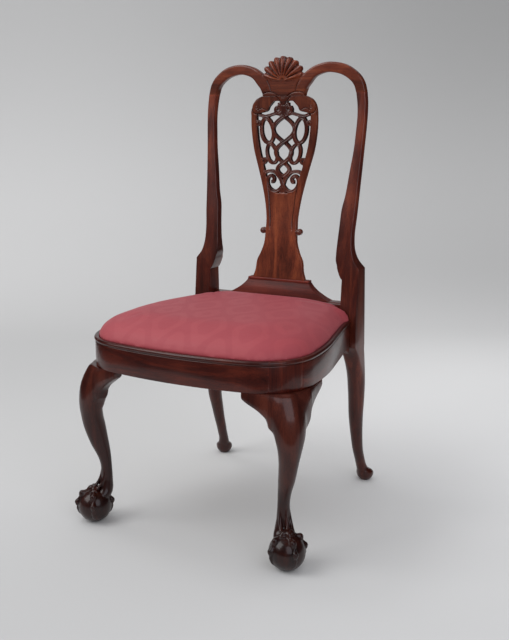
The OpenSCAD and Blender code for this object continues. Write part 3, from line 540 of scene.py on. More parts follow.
@dataclass(frozen=True)
class Mahogany:
    """Solid mahogany, sawn, planed and carved by hand, stained, then french polished and waxed.

    To the eye it is a deep red-brown with a soft, slowly wandering figure, fine darker pore streaks
    along the grain, recesses darker and edges paler, partly from old waxed polish and handling and partly
    as painted shade and painted highlight. Its row of heights in millimetres gives how bright the wood is
    painted there: painted light and shade by height.
    """

    name: str
    dark: str
    middle: str
    light: str
    grain: Grain
    fade: tuple[tuple[float, float], ...] = ((0.0, 1.0), (1000.0, 1.0))
    polish: float = 0.45
    rough: float = 0.36

    def build(self) -> Material:
        """Makes the material.

        Returns:
            The material.
        """
        material, tree, shader, points = new_material(self.name)
        # Figure: bands about 26 mm wide that wander over 240 mm of length.
        # Grain lines: about 0.8 mm in the wood, drawn 2 mm wide and 80 mm long so that they show.
        # Pores: about 0.2 mm by 4 mm in the wood, drawn 0.7 mm by 9 mm so that they show.
        # Stain: soft blotches about 70 mm across. Hand planing: waves about 22 mm across.
        noises = []
        for size, detail, roughness, distortion in (
            (self.grain.scale(26, 240), 4.0, 0.55, 0.9),
            (self.grain.scale(2.0, 80), 5.0, 0.6, 0.3),
            (self.grain.scale(0.7, 9), 2.0, 0.5, 0.0),
            ((1 / 70, 1 / 70, 1 / 70), 2.0, 0.5, 0.0),
            ((1 / 22, 1 / 22, 1 / 22), 1.0, 0.5, 0.0),
        ):
            at = add(tree, "VectorMath", {"operation": "MULTIPLY", 0: points, 1: size})
            settings = {"Vector": at, "Scale": 1.0, "Detail": detail, "Roughness": roughness}
            noises.append(add(tree, "TexNoise", {**settings, "Distortion": distortion}))
        figure, lines, pores, stain, hand = noises
        pored = add(tree, "ValToRGB", {"stops": [(0.58, 0.0), (0.68, 1.0)], "Fac": pores})
        tone = add(tree, "Math", {"operation": "MULTIPLY_ADD", 0: lines, 1: 0.5, 2: figure})
        tone = add(tree, "Math", {"operation": "MULTIPLY_ADD", 0: stain, 1: 0.45, 2: tone})
        tone = add(tree, "Math", {"operation": "DIVIDE", 0: tone, 1: 1.5})
        stops = [(0.72 / 1.5, colour(self.dark)), (0.98 / 1.5, colour(self.middle))]
        shade = add(tree, "ValToRGB", {"stops": [*stops, (1.22 / 1.5, colour(self.light))], "Fac": tone})
        # Painted shade in the recesses and a painted highlight on the edges, from pointiness, over the real
        # darkening of old waxed polish and the rubbing of handling
        corners = add(tree, "NewGeometry", out="Pointiness")
        stops = [(0.40, 0.16), (0.49, 1.0), (0.53, 1.0), (0.60, 1.9)]
        wax_wear_and_painted_light = add(tree, "ValToRGB", {"stops": stops, "Fac": corners})
        # Painted light and shade by height: the wood is drawn darker or lighter at the given heights
        height = add(tree, "SeparateXYZ", {0: points}, "Z")
        upward = add(tree, "Math", {"operation": "DIVIDE", 0: height, 1: 1000.0})
        fade = add(tree, "ValToRGB", {"stops": [(z / 1000, f) for z, f in self.fade], "Fac": upward})
        multiply = {"data_type": "RGBA", "blend_type": "MULTIPLY"}
        shade = add(tree, "Mix", {**multiply, "Factor": 1.0, 6: shade, 7: wax_wear_and_painted_light})
        shade = add(tree, "Mix", {**multiply, 0: pored, 6: shade, 7: (0.5, 0.42, 0.4, 1.0)})
        shade = add(tree, "Mix", {**multiply, "Factor": 1.0, 6: shade, 7: fade})
        ends = {"To Min": self.rough - 0.06, "To Max": self.rough + 0.08}
        gloss = add(tree, "MapRange", {"Value": stain, **ends})
        # Pores sink about 0.05 mm under the polish; the planed face waves slowly under it
        relief = add(tree, "Math", {"operation": "MULTIPLY_ADD", 0: pored, 1: -0.12, 2: hand})
        bump = add(tree, "Bump", {"Strength": 0.35, "Distance": 0.6 * MM, "Height": relief})
        settle(tree, shader, {"Base Color": shade, "Roughness": gloss, "Normal": bump, "IOR": 1.5})
        coat = {"Coat Weight": self.polish, "Coat Roughness": 0.14}
        settle(tree, shader, {"Specular IOR Level": 0.22, **coat})
        return material


@dataclass(frozen=True)
class PlainOak:
    """Plain sawn oak, left unfinished inside the frame: pale brown, matt, with open dark pores."""

    name: str
    dark: str
    light: str
    grain: Grain

    def build(self) -> Material:
        """Makes the material.

        Returns:
            The material.
        """
        material, tree, shader, points = new_material(self.name)
        # Growth rings about 4 mm apart, 200 mm long; pores drawn 0.8 mm by 14 mm so that they show
        noises = []
        for size, detail, distortion in (((4, 200), 4.0, 0.6), ((0.8, 14), 2.0, 0.0)):
            at = add(tree, "VectorMath", {"operation": "MULTIPLY", 0: points, 1: self.grain.scale(*size)})
            settings = {"Vector": at, "Scale": 1.0, "Detail": detail, "Distortion": distortion}
            noises.append(add(tree, "TexNoise", settings))
        rings, pores = noises
        stops = [(0.35, colour(self.dark)), (0.62, colour(self.light))]
        shade = add(tree, "ValToRGB", {"stops": stops, "Fac": rings})
        mask = add(tree, "ValToRGB", {"stops": [(0.56, 1.0), (0.64, 0.45)], "Fac": pores})
        multiply = {"data_type": "RGBA", "blend_type": "MULTIPLY", "Factor": 1.0}
        pored = add(tree, "Mix", {**multiply, 6: shade, 7: mask})
        bump = add(tree, "Bump", {"Strength": 0.5, "Distance": 0.3 * MM, "Height": mask})
        settle(tree, shader, {"Base Color": pored, "Normal": bump, "Roughness": 0.8})
        return material


@dataclass(frozen=True)
class SilkDamask:
    """Crimson silk damask, woven tone on tone and stretched over the stuffed seat.

    To the eye it is a soft rose red whose satin ground and dull figure part only in the light, with a
    fine cross weave and a faint sheen at grazing angles.
    """

    name: str
    ground: str
    figure: str
    worn: str

    def build(self) -> Material:
        """Makes the material.

        Returns:
            The material.
        """
        material, tree, shader, points = new_material(self.name)
        # Ogee repeat 92 mm wide and 138 mm long, filled with leaf forms about 16 mm across
        waves = []
        for way, repeat in (("X", 92), ("Y", 138)):
            place = add(tree, "SeparateXYZ", {0: points}, way)
            phase = add(tree, "Math", {"operation": "MULTIPLY", 0: place, 1: 2 * math.pi / repeat})
            waves.append(add(tree, "Math", {"operation": "COSINE", 0: phase}))
        ogee = add(tree, "Math", {"operation": "ADD", 0: waves[0], 1: waves[1]})
        leaf_at = add(tree, "VectorMath", {"operation": "SCALE", "Scale": 1 / 16, 0: points})
        folded = add(tree, "VectorMath", {"operation": "SINE", 0: leaf_at})
        leaf = add(tree, "TexNoise", {"Vector": folded, "Scale": 1.3, "Detail": 1.0, "Distortion": 1.2})
        rings = add(tree, "Math", {"operation": "MULTIPLY_ADD", 0: ogee, 1: 3.2, 2: leaf})
        bands = add(tree, "Math", {"operation": "SINE", 0: rings})
        pattern = add(tree, "MapRange", {"Value": bands, "From Min": -0.25, "From Max": 0.25})
        cloth = add(
            tree, "Mix", {"data_type": "RGBA", 0: pattern, 6: colour(self.ground), 7: colour(self.figure)}
        )
        # Fading where the seat is sat on: soft patches about 120 mm across
        patch_at = add(tree, "VectorMath", {"operation": "SCALE", "Scale": 1 / 120, 0: points})
        patch = add(tree, "TexNoise", {"Vector": patch_at, "Scale": 1.0, "Detail": 3.0})
        fade = add(tree, "MapRange", {"Value": patch, "From Min": 0.35, "From Max": 0.75, "To Max": 0.5})
        faded = add(tree, "Mix", {"data_type": "RGBA", 0: fade, 6: cloth, 7: colour(self.worn)})
        gloss = add(tree, "MapRange", {"Value": pattern, "To Min": 0.58, "To Max": 0.63})
        # Threads are about 0.1 mm apart; they are drawn 1.1 mm apart so that the weave shows
        wave = {"Vector": points, "Scale": math.pi / 10 / 1.1, "Distortion": 0.6, "Detail Scale": 0.4}
        weave = [add(tree, "TexWave", {"bands_direction": way, **wave}, "Fac") for way in ("X", "Y")]
        threads = add(tree, "Math", {"operation": "MULTIPLY", 0: weave[0], 1: weave[1]})
        height = add(tree, "Math", {"operation": "MULTIPLY_ADD", 0: pattern, 1: 0.12, 2: threads})
        bump = add(tree, "Bump", {"Strength": 0.3, "Distance": 0.25 * MM, "Height": height})
        settle(tree, shader, {"Base Color": faded, "Roughness": gloss, "Normal": bump})
        sheen = {"Sheen Roughness": 0.4, "Sheen Tint": colour("#e7b3b8")}
        settle(tree, shader, {"Sheen Weight": 0.12, **sheen})
        return material


@dataclass(frozen=True)
class PlainWeave:
    """Plain-woven jute or linen: matt, with its threads standing over and under each other."""

    name: str
    thread: str
    gap: str
    pitch: float

    def build(self) -> Material:
        """Makes the material.

        Returns:
            The material.
        """
        material, tree, shader, points = new_material(self.name)
        # Threads stand a pitch apart; slubs in them are about 9 mm long
        wave = {"Vector": points, "Scale": math.pi / 10 / self.pitch, "Distortion": 1.0}
        weave = [add(tree, "TexWave", {"bands_direction": way, **wave}, "Fac") for way in ("X", "Y")]
        threads = add(tree, "Math", {"operation": "MULTIPLY", 0: weave[0], 1: weave[1]})
        slub_at = add(tree, "VectorMath", {"operation": "SCALE", "Scale": 1 / 9, 0: points})
        slub = add(tree, "TexNoise", {"Vector": slub_at, "Scale": 1.0, "Detail": 4.0})
        tone = add(tree, "Math", {"operation": "MULTIPLY", 0: threads, 1: slub})
        stops = [(0.02, colour(self.gap)), (0.45, colour(self.thread))]
        shade = add(tree, "ValToRGB", {"stops": stops, "Fac": tone})
        bump = add(tree, "Bump", {"Strength": 0.6, "Distance": 0.4 * MM, "Height": threads})
        settle(tree, shader, {"Base Color": shade, "Normal": bump, "Roughness": 0.9, "Sheen Weight": 0.2})
        return material


@dataclass(frozen=True)
class WroughtIron:
    """Small wrought-iron tacks, blackened with age: dark, half dull, with a grainy hammered head."""

    name: str
    scale: str
    shade: str

    def build(self) -> Material:
        """Makes the material.

        Returns:
            The material.
        """
        material, tree, shader, points = new_material(self.name)
        # Scale from the forge in specks about 0.8 mm across
        speck_at = add(tree, "VectorMath", {"operation": "SCALE", "Scale": 1 / 0.8, 0: points})
        speck = add(tree, "TexNoise", {"Vector": speck_at, "Scale": 1.0, "Detail": 3.0})
        stops = [(0.3, colour(self.scale)), (0.7, colour(self.shade))]
        shade = add(tree, "ValToRGB", {"stops": stops, "Fac": speck})
        settle(tree, shader, {"Base Color": shade, "Metallic": 0.8, "Roughness": 0.55})
        return material


# Seat frame


@dataclass
class SeatPlan:
    """Plan of the seat rim, with the same sizes as the part's source.

    The rim is a shallow bow in front, two round corners, two slanting sides and a slight hollow in
    front of each rear post. A station on it is a row [x, y, outward x, outward y].
    """

    depth: float = 556.0
    rim_h: float = 409.0
    width: float = 498.0
    seat_d: float = 426.0
    back_w: float = 417.0
    rail_h: float = 61.5
    rail_t: float = 44.0
    bow_r: float = 920.0
    corner_r: float = 113.0
    side_set: float = 11.5
    side_share: float = 1.308
    end_share: float = 0.53
    hollow_r: float = 400.0
    lip_w: float = 12.0
    lip_over: float = 2.0
    lip_r: float = 4.6
    rabbet_h: float = 18.0
    corner_len: float = 72.0
    leg_turn: float = 52.0
    slip_in: float = 13.0
    notch_in: float = 40.0
    notch_gap: float = 1.25
    slip_back: float = 23.0

    def __post_init__(self) -> None:
        """Works out what follows from the sizes."""
        self.front_y = -self.depth / 2
        self.post_y = self.front_y + self.seat_d
        self.leg_top = self.rim_h - self.rail_h
        self.ledge_z = self.rim_h - self.rabbet_h
        self.bow_cy = self.front_y + self.bow_r
        self.corner_x = self.width / 2 - self.corner_r
        rest = self.bow_r - self.corner_r
        self.corner_y = self.bow_cy - math.sqrt(rest**2 - self.corner_x**2)
        self.bow_a = math.degrees(math.asin(self.corner_x / rest))
        self.side_end_x = self.back_w / 2 - self.side_set
        reach = (self.width / 2 - self.side_end_x, self.post_y - self.corner_y)
        self.side_slant = self.side_share * math.degrees(math.atan(reach[0] / reach[1]))
        self.end_slant = self.end_share * self.side_slant
        slant, end = math.radians(self.side_slant), math.radians(self.end_slant)
        dx = reach[0] - self.hollow_r * (math.cos(end) - math.cos(slant))
        dy = reach[1] - self.hollow_r * (math.sin(slant) - math.sin(end))
        self.side_r = (dy * math.sin(slant) - dx * math.cos(slant)) / (1 - math.cos(slant))
        side_l = (dx - self.side_r * (1 - math.cos(slant))) / math.sin(slant)
        bend = self.side_arc(self.side_slant + 90)
        self.hollow_c = (
            bend[0] - side_l * math.sin(slant) + self.hollow_r * bend[2],
            bend[1] + side_l * math.cos(slant) + self.hollow_r * bend[3],
        )
        half = self.corner_len / self.corner_r * 90 / math.pi
        self.post_a0, self.post_a1 = self.leg_turn - half, self.leg_turn + half
        self.notch_x, self.notch_y = self.back_w / 2 - self.notch_in, self.post_y - self.notch_gap

    def arc(self, centre: tuple[float, float], radius: float, angle: float) -> Array:
        """Station on an arc of the rim, at an angle in degrees from straight ahead."""
        s, c = turned(angle)
        return np.array([centre[0] + radius * s, centre[1] - radius * c, s, -c])

    def bow(self, angle: float) -> Array:
        """Station on the front's bow."""
        return self.arc((0.0, self.bow_cy), self.bow_r, angle)

    def corner(self, angle: float) -> Array:
        """Station on the round corner."""
        return self.arc((self.corner_x, self.corner_y), self.corner_r, angle)

    def side_arc(self, angle: float) -> Array:
        """Station on the curved part of the side."""
        return self.arc((self.width / 2 - self.side_r, self.corner_y), self.side_r, angle)

    def hollow(self, angle: float) -> Array:
        """Station in the hollow in front of the post."""
        s, c = turned(angle)
        return np.array([self.hollow_c[0] - self.hollow_r * s, self.hollow_c[1] + self.hollow_r * c, s, -c])

    def along(self, u: float) -> Array:
        """Station at u millimetres along the rim from the leg's centre, positive towards the back.

        Args:
            u: The distance.

        Returns:
            The station.
        """
        angle = self.leg_turn + math.degrees(u / self.corner_r)
        if angle > 90:
            return self.side_arc(90 + (angle - 90) * self.corner_r / self.side_r)
        if angle < self.bow_a:
            return self.bow(self.bow_a - (self.bow_a - angle) * self.corner_r / self.bow_r)
        return self.corner(angle)

    def before_post(self, u: float) -> Array:
        """Station u millimetres before the end of the side."""
        return self.hollow(90 + self.end_slant + math.degrees(u / self.hollow_r))

    def front_path(self, end: float) -> Array:
        """Stations along the front, from the left corner's angle end to the right one's.

        Args:
            end: The corner's angle at both ends.

        Returns:
            The stations.
        """
        right = [self.bow(a) for a in np.linspace(0, self.bow_a, 30)[1:]]
        right += [self.corner(a) for a in np.linspace(self.bow_a, end, 16)[1:]]
        left = [s * np.array([-1, 1, -1, 1]) for s in right[::-1]]
        return np.array(left + [self.bow(0)] + right)

    def side_path(self, start: float, steps: int = 8) -> Array:
        """Stations along the right side, from an angle of the corner to the post.

        Args:
            start: The corner's angle at its start.
            steps: Stations in the hollow, half as many as on the side.

        Returns:
            The stations.
        """
        path = [self.corner(a) for a in np.linspace(start, 90, 2 + int(abs(90 - start) / 2.5))]
        path += [self.side_arc(90 + a) for a in np.linspace(0, self.side_slant, steps * 2)[1:]]
        path += [self.hollow(90 + a) for a in np.linspace(self.side_slant, self.end_slant, steps)]
        return np.array(path)

    def outline(self, inset: float) -> Array:
        """Outline of the slip seat at a distance inside the rim, anticlockwise from above.

        Args:
            inset: The distance; slip_in is the slip seat's own edge.

        Returns:
            Points [x, y] about 5 mm apart.
        """
        front = self.front_path(90)
        rim = np.vstack([front[len(front) // 2 :], self.side_path(90)[1:]])
        right = rim[:, :2] - rim[:, 2:] * inset
        more = inset - self.slip_in
        x, y, back = self.notch_x - more, self.notch_y - more, self.post_y + self.slip_back - more
        notch = [[self.side_end_x - inset, y], [x, y], [x, back], [0, back]]
        right = np.vstack([right[right[:, 1] < y - 1], notch])
        line = np.vstack([right, right[::-1][1:] * np.array([-1, 1])])
        step = np.r_[0, np.cumsum(np.linalg.norm(np.diff(line, axis=0), axis=1))]
        even = np.linspace(0, step[-1], int(step[-1] / 5))[:-1]
        return np.stack([np.interp(even, step, line[:, 0]), np.interp(even, step, line[:, 1])], -1)


def run(path: Array, section: Array, square_y: float | None = None) -> Array:
    """Rings of a section of [distance inwards, height] along stations of the rim.

    Args:
        path: The stations.
        section: The section's points.
        square_y: Where the last ring is cut square to the chair, if it is.

    Returns:
        The rings.
    """
    rings = np.empty((len(path), len(section), 3))
    rings[..., 0] = path[:, :1] - path[:, 2:3] * section[:, 0]
    rings[..., 1] = path[:, 1:2] - path[:, 3:4] * section[:, 0]
    rings[..., 2] = section[:, 1]
    if square_y is not None:
        x, y, nx, ny = path[-1]
        rings[-1, :, 0] = x - section[:, 0] / nx
        rings[-1, :, 1] = square_y
    return rings


def eased(rings: Array, by: float = 0.4) -> Array:
    """Rings with both ends of the run rubbed round, so that a joint shows as a fine line.

    Args:
        rings: The rings.
        by: How far the ends are rubbed.

    Returns:
        The new rings.
    """
    ends = []
    for ring, inner in ((rings[0], rings[1]), (rings[-1], rings[-2])):
        middle = ring.mean(axis=0)
        small = ring + (middle - ring) / np.linalg.norm(ring - middle, axis=1).mean() * by
        gap = np.linalg.norm((inner - ring).mean(axis=0))
        ends.append((small, mix(ring, inner, min(by / gap, 0.5))))
    return np.concatenate([[ends[0][0], ends[0][1]], rings[1:-1], [ends[1][1], ends[1][0]]])


@dataclass
class SeatFrame:
    """Curved rails with a beaded lip, and the rear rail with the shoe on it."""

    plan: SeatPlan
    rear_rise: float = 31.0
    rear_t: float = 50.0
    rear_wall: float = 26.0
    shoe_h: float = 42.0
    shoe_top_w: float = 150.0
    shoe_w: float = 262.0
    shoe_slope: float = 7.0

    def rail_section(self) -> Array:
        """Section of a rail as [distance inwards, height], with its bead, quirk and eased arrises.

        Returns:
            Its points.
        """
        p = self.plan
        nose = [
            [p.lip_r + p.lip_r * math.cos(a), p.rim_h - p.lip_r + p.lip_r * math.sin(a)]
            for a in np.radians(np.linspace(90, 246, 15))
        ]
        groove_z = p.rim_h - 2 * p.lip_r
        inside = [
            [p.lip_over + 1.4, p.leg_top], [p.rail_t - 1, p.leg_top], [p.rail_t, p.leg_top + 1],
            [p.rail_t, p.ledge_z - 0.6], [p.rail_t - 0.6, p.ledge_z], [p.lip_w + 0.5, p.ledge_z],
            [p.lip_w, p.ledge_z + 0.5], [p.lip_w, p.rim_h - 2.4], [p.lip_w - 0.7, p.rim_h - 0.9],
            [p.lip_w - 2.4, p.rim_h],
        ]
        face = [
            [p.lip_over + 0.75, groove_z - 0.35], [p.lip_over + 0.25, groove_z - 0.9],
            [p.lip_over, groove_z - 1.9], [p.lip_over, p.leg_top + 1.4], [p.lip_over + 0.4, p.leg_top + 0.4],
        ]
        return np.array(inside + nose + face)

    def shoe(self) -> Shell:
        """Cyma-moulded shoe that holds the splat's foot.

        Returns:
            Its skin.
        """
        base, tall = self.plan.rim_h + self.rear_rise, self.shoe_h
        back = self.plan.post_y + self.rear_t
        front = back - self.rear_wall
        rows = [
            [0, 1, 0], [0.1, 0.82, 0.02], [0.24, 0.62, 0.06], [0.42, 0.4, 0.2], [0.62, 0.22, 0.5],
            [0.8, 0.1, 0.85], [0.86, 0.08, 0.95],
        ]
        rings = []
        for t in np.linspace(0, 0.86, 50):
            half = mix(self.shoe_top_w, self.shoe_w, smooth(rows, t, 1)) / 2
            y = front + 2 + self.shoe_slope * smooth(rows, t, 2)
            rings.append(block_ring(-half, half, y, back, 0.5, 0.5, base + tall * t))
        half, y = self.shoe_top_w / 2 + 3, front + self.shoe_slope + 0.4
        for t, less in ((0.865, 0.4), (0.88, 0.0), (0.96, 0.0), (0.985, 0.4), (1.0, 1.3)):
            rings.append(block_ring(-half + less, half - less, y + less, back, 0.8, 0.5, base + tall * t))
        return loft(rings)

    def build(self, wood: Material, side_wood: Material, shoe_wood: Material, oak: Material) -> None:
        """Makes the rails and the shoe, and dresses the CAD nodes that stay.

        Args:
            wood: Mahogany with its grain across the chair.
            side_wood: Mahogany with its grain from front to back.
            shoe_wood: Redder mahogany of the shoe, with less polish.
            oak: Oak of the glue blocks.
        """
        p = self.plan
        section = self.rail_section()
        side = loft(eased(run(p.side_path(p.post_a1), section, p.post_y)))
        for name, shell, finish, node in (
            ("front_rail", loft(eased(run(p.front_path(p.post_a0), section))), wood, "front_seat_rail"),
            ("right_rail", side, side_wood, "right_side_rail"),
            ("left_rail", side.mirrored(), side_wood, "left_side_rail"),
            ("shoe", self.shoe(), shoe_wood, "splat_shoe"),
        ):
            make(name, shell, finish, slot="rail_mahogany", replaces=[node])
        dress("rear_seat_rail", wood)
        for node in ("front_left_block", "front_right_block", "rear_left_block", "rear_right_block"):
            dress(node, oak)


def dress(node: str, material: Material) -> None:
    """Gives a CAD node that stays its finish.

    Args:
        node: The node's name.
        material: Its finish.
    """
    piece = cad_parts[node]
    piece.data.materials.clear()
    piece.data.materials.append(material)
    LOG.info("%s: CAD node dressed", node)


# Front legs


@dataclass
class FrontLeg:
    """Cabriole leg with a claw-and-ball foot, and the corner post of the seat frame above it."""

    plan: SeatPlan
    ball_r: float = 36.0
    ball_flat: float = 1.0
    leg_out: float = 12.0
    foot_lead: float = 6.0
    ankle_w: float = 24.5
    ankle_set: float = 28.0
    knee_w: float = 54.0
    claw_w: float = 11.0
    front_bracket: float = 91.0
    side_bracket: float = 120.0
    bracket_tip: float = 13.0
    bracket_t: float = 28.0
    bracket_drop: float = 100.0
    bracket_swell: float = 22.0
    joint: float = 36.0
    knee_z: float = 215.0
    saw_above: float = 150.0

    def __post_init__(self) -> None:
        """Works out the leg's place."""
        knee = self.plan.corner(self.plan.leg_turn)
        self.ball_z = self.ball_r - self.ball_flat
        self.ankle_z = 2 * self.ball_r + 18
        self.out = np.array([knee[2], knee[3], 0.0])
        self.side = np.array([-knee[3], knee[2], 0.0])
        self.middle = np.array([knee[0], knee[1], 0.0]) + self.leg_out * self.out
        self.ball_c = self.middle - self.foot_lead * self.side + UP * self.ball_z

    def rows(self) -> Rows:
        """The leg as rows [height, middle, thickness along the leg's direction, across it, squareness].

        Returns:
            The rows, from the foot up.
        """
        a, k, s, b = self.ankle_w, self.knee_w, self.ankle_set, self.ball_z
        shares = [
            [0.0, 0.5 - s, a + 1.5, a + 4.5, 2],
            [0.058, -s, a, a + 1.5, 2],
            [0.124, 0.5 - s, a - 0.5, a, 2],
            [0.183, 2.7 - s, a + 2.5, a + 1, 2],
            [0.241, 6.5 - s, a + 7.5, a + 2.5, 2],
            [0.311, 12 - s, a + 14, a + 6, 2],
            [0.396, -10.3, k - 10.6, k - 20, 1.95],
            [0.474, -5.8, k - 7.4, k - 16, 1.9],
            [0.567, -1.5, k - 7, k - 7, 1.85],
            [0.652, 0, k - 4.6, k + 4, 1.8],
            [0.746, -3.5, k + 1, k + 14, 1.75],
            [0.827, -9.7, k + 6.5, k + 20, 1.7],
            [0.897, -16.9, k + 8, k + 23, 1.65],
            [0.951, -22.5, k + 5, k + 23, 1.6],
            [0.985, -26, k + 1, k + 19, 1.6],
            [1.0, -29, k - 4, k + 14, 1.6],
        ]
        foot = [
            [b + 10, -10, 40, 40, 2],
            [b + 25, 10 - s, a + 15, a + 17, 2],
            [b + 37, 3 - s, a + 7, a + 9, 2],
        ]
        return foot + [[mix(self.ankle_z, self.plan.leg_top, r[0]), *r[1:]] for r in shares]

    def cabriole(self) -> Shell:
        """The S-curved leg from the ball to the bottom of the rails.

        Returns:
            Its skin.
        """
        rows = self.rows()
        heights = np.linspace(rows[0][0], rows[-1][0], 150)
        around = np.radians(np.arange(0, 360, 7.5))
        middle, along, across, square = (smooth(rows, heights, c)[:, None] for c in (1, 2, 3, 4))
        lead = self.foot_lead * np.clip((self.ankle_z - heights) / (self.ankle_z - self.ball_z - 10), 0, 1)
        c, s = np.cos(around)[None], np.sin(around)[None]
        u = middle + along / 2 * np.sign(c) * np.abs(c) ** (2 / square)
        v = across / 2 * np.sign(s) * np.abs(s) ** (2 / square) - lead[:, None]
        rings = self.middle + u[..., None] * self.out + v[..., None] * self.side
        rings[..., 2] = heights[:, None]
        return loft(rings)

    def toward(self, turn: float) -> tuple[Array, Array]:
        """Level direction at an angle in degrees from the leg's own, and the one across it.

        Args:
            turn: The angle.

        Returns:
            Both directions, of length 1.
        """
        s, c = turned(turn)
        way = c * self.out + s * self.side
        return way, np.array([way[1], -way[0], 0.0])

    def claw(self, turn: float, start: float) -> Shell:
        """One knuckled claw over the ball.

        Args:
            turn: Its direction round the ball in degrees, 0 along the leg's own direction.
            start: Angle from the ball's top at which it starts.

        Returns:
            Its skin.
        """
        rows = [
            [-25, 0.9, 0], [-5, 1.0, 1.5], [8, 1.2, 2.4], [16, 1.1, 1.6], [24, 0.74, 0], [32, 0.78, 0.2],
            [41, 1.16, 1.8], [49, 1.1, 1.2], [57, 0.74, -0.6], [66, 0.8, -0.2], [75, 1.08, 1.2],
            [83, 0.96, 0.6], [90, 0.66, -0.6], [98, 0.7, -0.4], [108, 0.56, -0.2], [118, 0.4, -0.2],
            [128, 0.14, -0.6],
        ]
        way, beside = self.toward(turn)
        rings = []
        for angle in np.arange(start, 128.5, 1.5):
            s, c = turned(angle)
            out = way * s + UP * c
            size = smooth(rows, angle, 1) * self.claw_w / 2
            middle = self.ball_c + (self.ball_r + smooth(rows, angle, 2)) * out
            rings.append(tube(middle, size, 1.1 * out, beside, 18))
        return loft(rings)

    def bracket(self, reach: float, way: int) -> Shell:
        """Knee bracket beside the leg, under a rail.

        Args:
            reach: Length of rim that it covers, from the leg's centre.
            way: 1 towards the back, -1 towards the front.

        Returns:
            Its skin.
        """
        rows = [
            [0.1, 1, 1], [0.19, 0.9, 0.88], [0.28, 0.79, 0.74], [0.37, 0.7, 0.58], [0.42, 0.64, 0.48],
            [0.436, 0.53, 0.46], [0.48, 0.475, 0.34], [0.57, 0.4, 0.2], [0.69, 0.32, 0.1],
            [0.84, 0.24, 0.05], [0.94, 0.18, 0.03], [1, self.bracket_tip / self.bracket_drop, 0.018],
        ]
        top, over = self.plan.leg_top, self.plan.lip_over
        rings = []
        shares = np.r_[np.linspace(0.1, 0.41, 26), np.linspace(0.418, 0.44, 6), np.linspace(0.45, 1, 38)]
        for share in shares[::way]:
            low = top - smooth(rows, share, 1) * self.bracket_drop
            face_y = over - smooth(rows, share, 2) * self.bracket_swell
            swell = over - face_y
            face = [
                [0, face_y + 6.5], [0.04, face_y + 3.6], [0.12, face_y + 1.2], [0.3, face_y + 0.1],
                [0.55, face_y], [0.8, over - swell * 0.9 + 0.2], [0.93, over - swell * 0.66 + 0.3],
                [1, over - swell * 0.35],
            ]
            t = np.linspace(1, 0, 20)
            outer = np.stack([smooth(face, t), mix(low, top, t)], -1)
            # The back draws in towards the leg on its way down
            heights = mix(low, top, np.linspace(0, 1, 12))
            depth = np.clip((top - heights) / self.bracket_drop, 0, 1)
            back = over + self.bracket_t * (1 - 0.58 * depth**0.8)
            inner = np.stack([back, heights], -1)
            inner[0, 0] -= 4
            rings.append(run(self.plan.along(way * share * reach)[None], np.vstack([inner, outer]))[0])
        return loft(rings)

    def tendon(self, turn: float) -> Shell:
        """A tendon that runs down the ankle into a claw.

        Args:
            turn: Direction of its claw in degrees.

        Returns:
            Its skin.
        """
        way, beside = self.toward(turn)
        ankle = self.middle - self.ankle_set * self.out
        s, c = turned(20)
        knuckle = self.ball_c + (self.ball_r + 1) * (s * way + c * UP)
        top = ankle + 10.5 * way + UP * (self.ankle_z + 22)
        low = ankle + 14.0 * way + UP * (2 * self.ball_r + 5)
        rings = []
        for t in np.linspace(0, 1, 26):
            middle = (1 - t) ** 2 * top + 2 * t * (1 - t) * low + t * t * knuckle
            rings.append(tube(middle, mix(2.2, 5.0, t), way, beside, 12))
        return loft(rings[::-1])

    def carved(self) -> list[Shell]:
        """The leg and its brackets, carved in one flow and then parted at their joints.

        Returns:
            The leg, the front bracket and the side bracket.
        """
        ball = ball_shell(self.ball_c, (self.ball_r,) * 3, 64)
        claws = [self.claw(turn, -25) for turn in (0, 84, -84)] + [self.claw(180, 20)]
        brackets = [self.bracket(self.front_bracket, -1), self.bracket(self.side_bracket, 1)]
        tendons = [self.tendon(turn) for turn in (0, 62, -62)]
        whole = fused([self.cabriole(), ball, *claws, *tendons, *brackets], 1.2, 1)
        p = whole.points
        flat = np.abs(p[:, 2] - self.plan.leg_top) < 0.8
        knee = np.clip((p[:, 2] - self.knee_z) / 30, 0, 1) * ~flat
        relaxed(whole, 6, knee)
        filled(whole, 160, 0.9 * knee)
        relaxed(whole, 4, knee)
        p[:, 2] = np.clip(p[:, 2], 0, self.plan.leg_top)
        cuts = []
        for way in (-1, 1):
            x, y, nx, ny = self.plan.along(way * self.joint)
            cuts.append((np.array([x, y, 0]), way * np.array([-ny, nx, 0])))
        return sawn(whole, cuts, self.saw_above)

    def post(self) -> Shell:
        """The corner post of the seat frame, on top of the leg.

        Returns:
            Its skin.
        """
        angles = np.linspace(self.plan.post_a0, self.plan.post_a1, 24)
        path = np.array([self.plan.corner(a) for a in angles])
        return loft(eased(run(path, SeatFrame(self.plan).rail_section())))

    def build(self, wood: Material, post_wood: Material) -> None:
        """Makes both front legs with their brackets and posts.

        Args:
            wood: Mahogany of the legs.
            post_wood: Mahogany of the corner posts, in the rails' colour.
        """
        leg, front, side = self.carved()
        pieces = (
            ("front_{}_leg", "leg_carved", leg, wood, "mahogany"),
            ("front_{}_leg", "corner_post", self.post(), post_wood, "rail_mahogany"),
            ("{}_knee_bracket_front", "front_bracket_carved", front, wood, "mahogany"),
            ("{}_knee_bracket_side", "side_bracket_carved", side, wood, "mahogany"),
        )
        for node, name, shell, finish, slot in pieces:
            for hand, placed in (("right", shell), ("left", shell.mirrored())):
                make(f"{hand}_{name}", placed, finish, slot=slot, replaces=[node.format(hand)])


# Rear posts


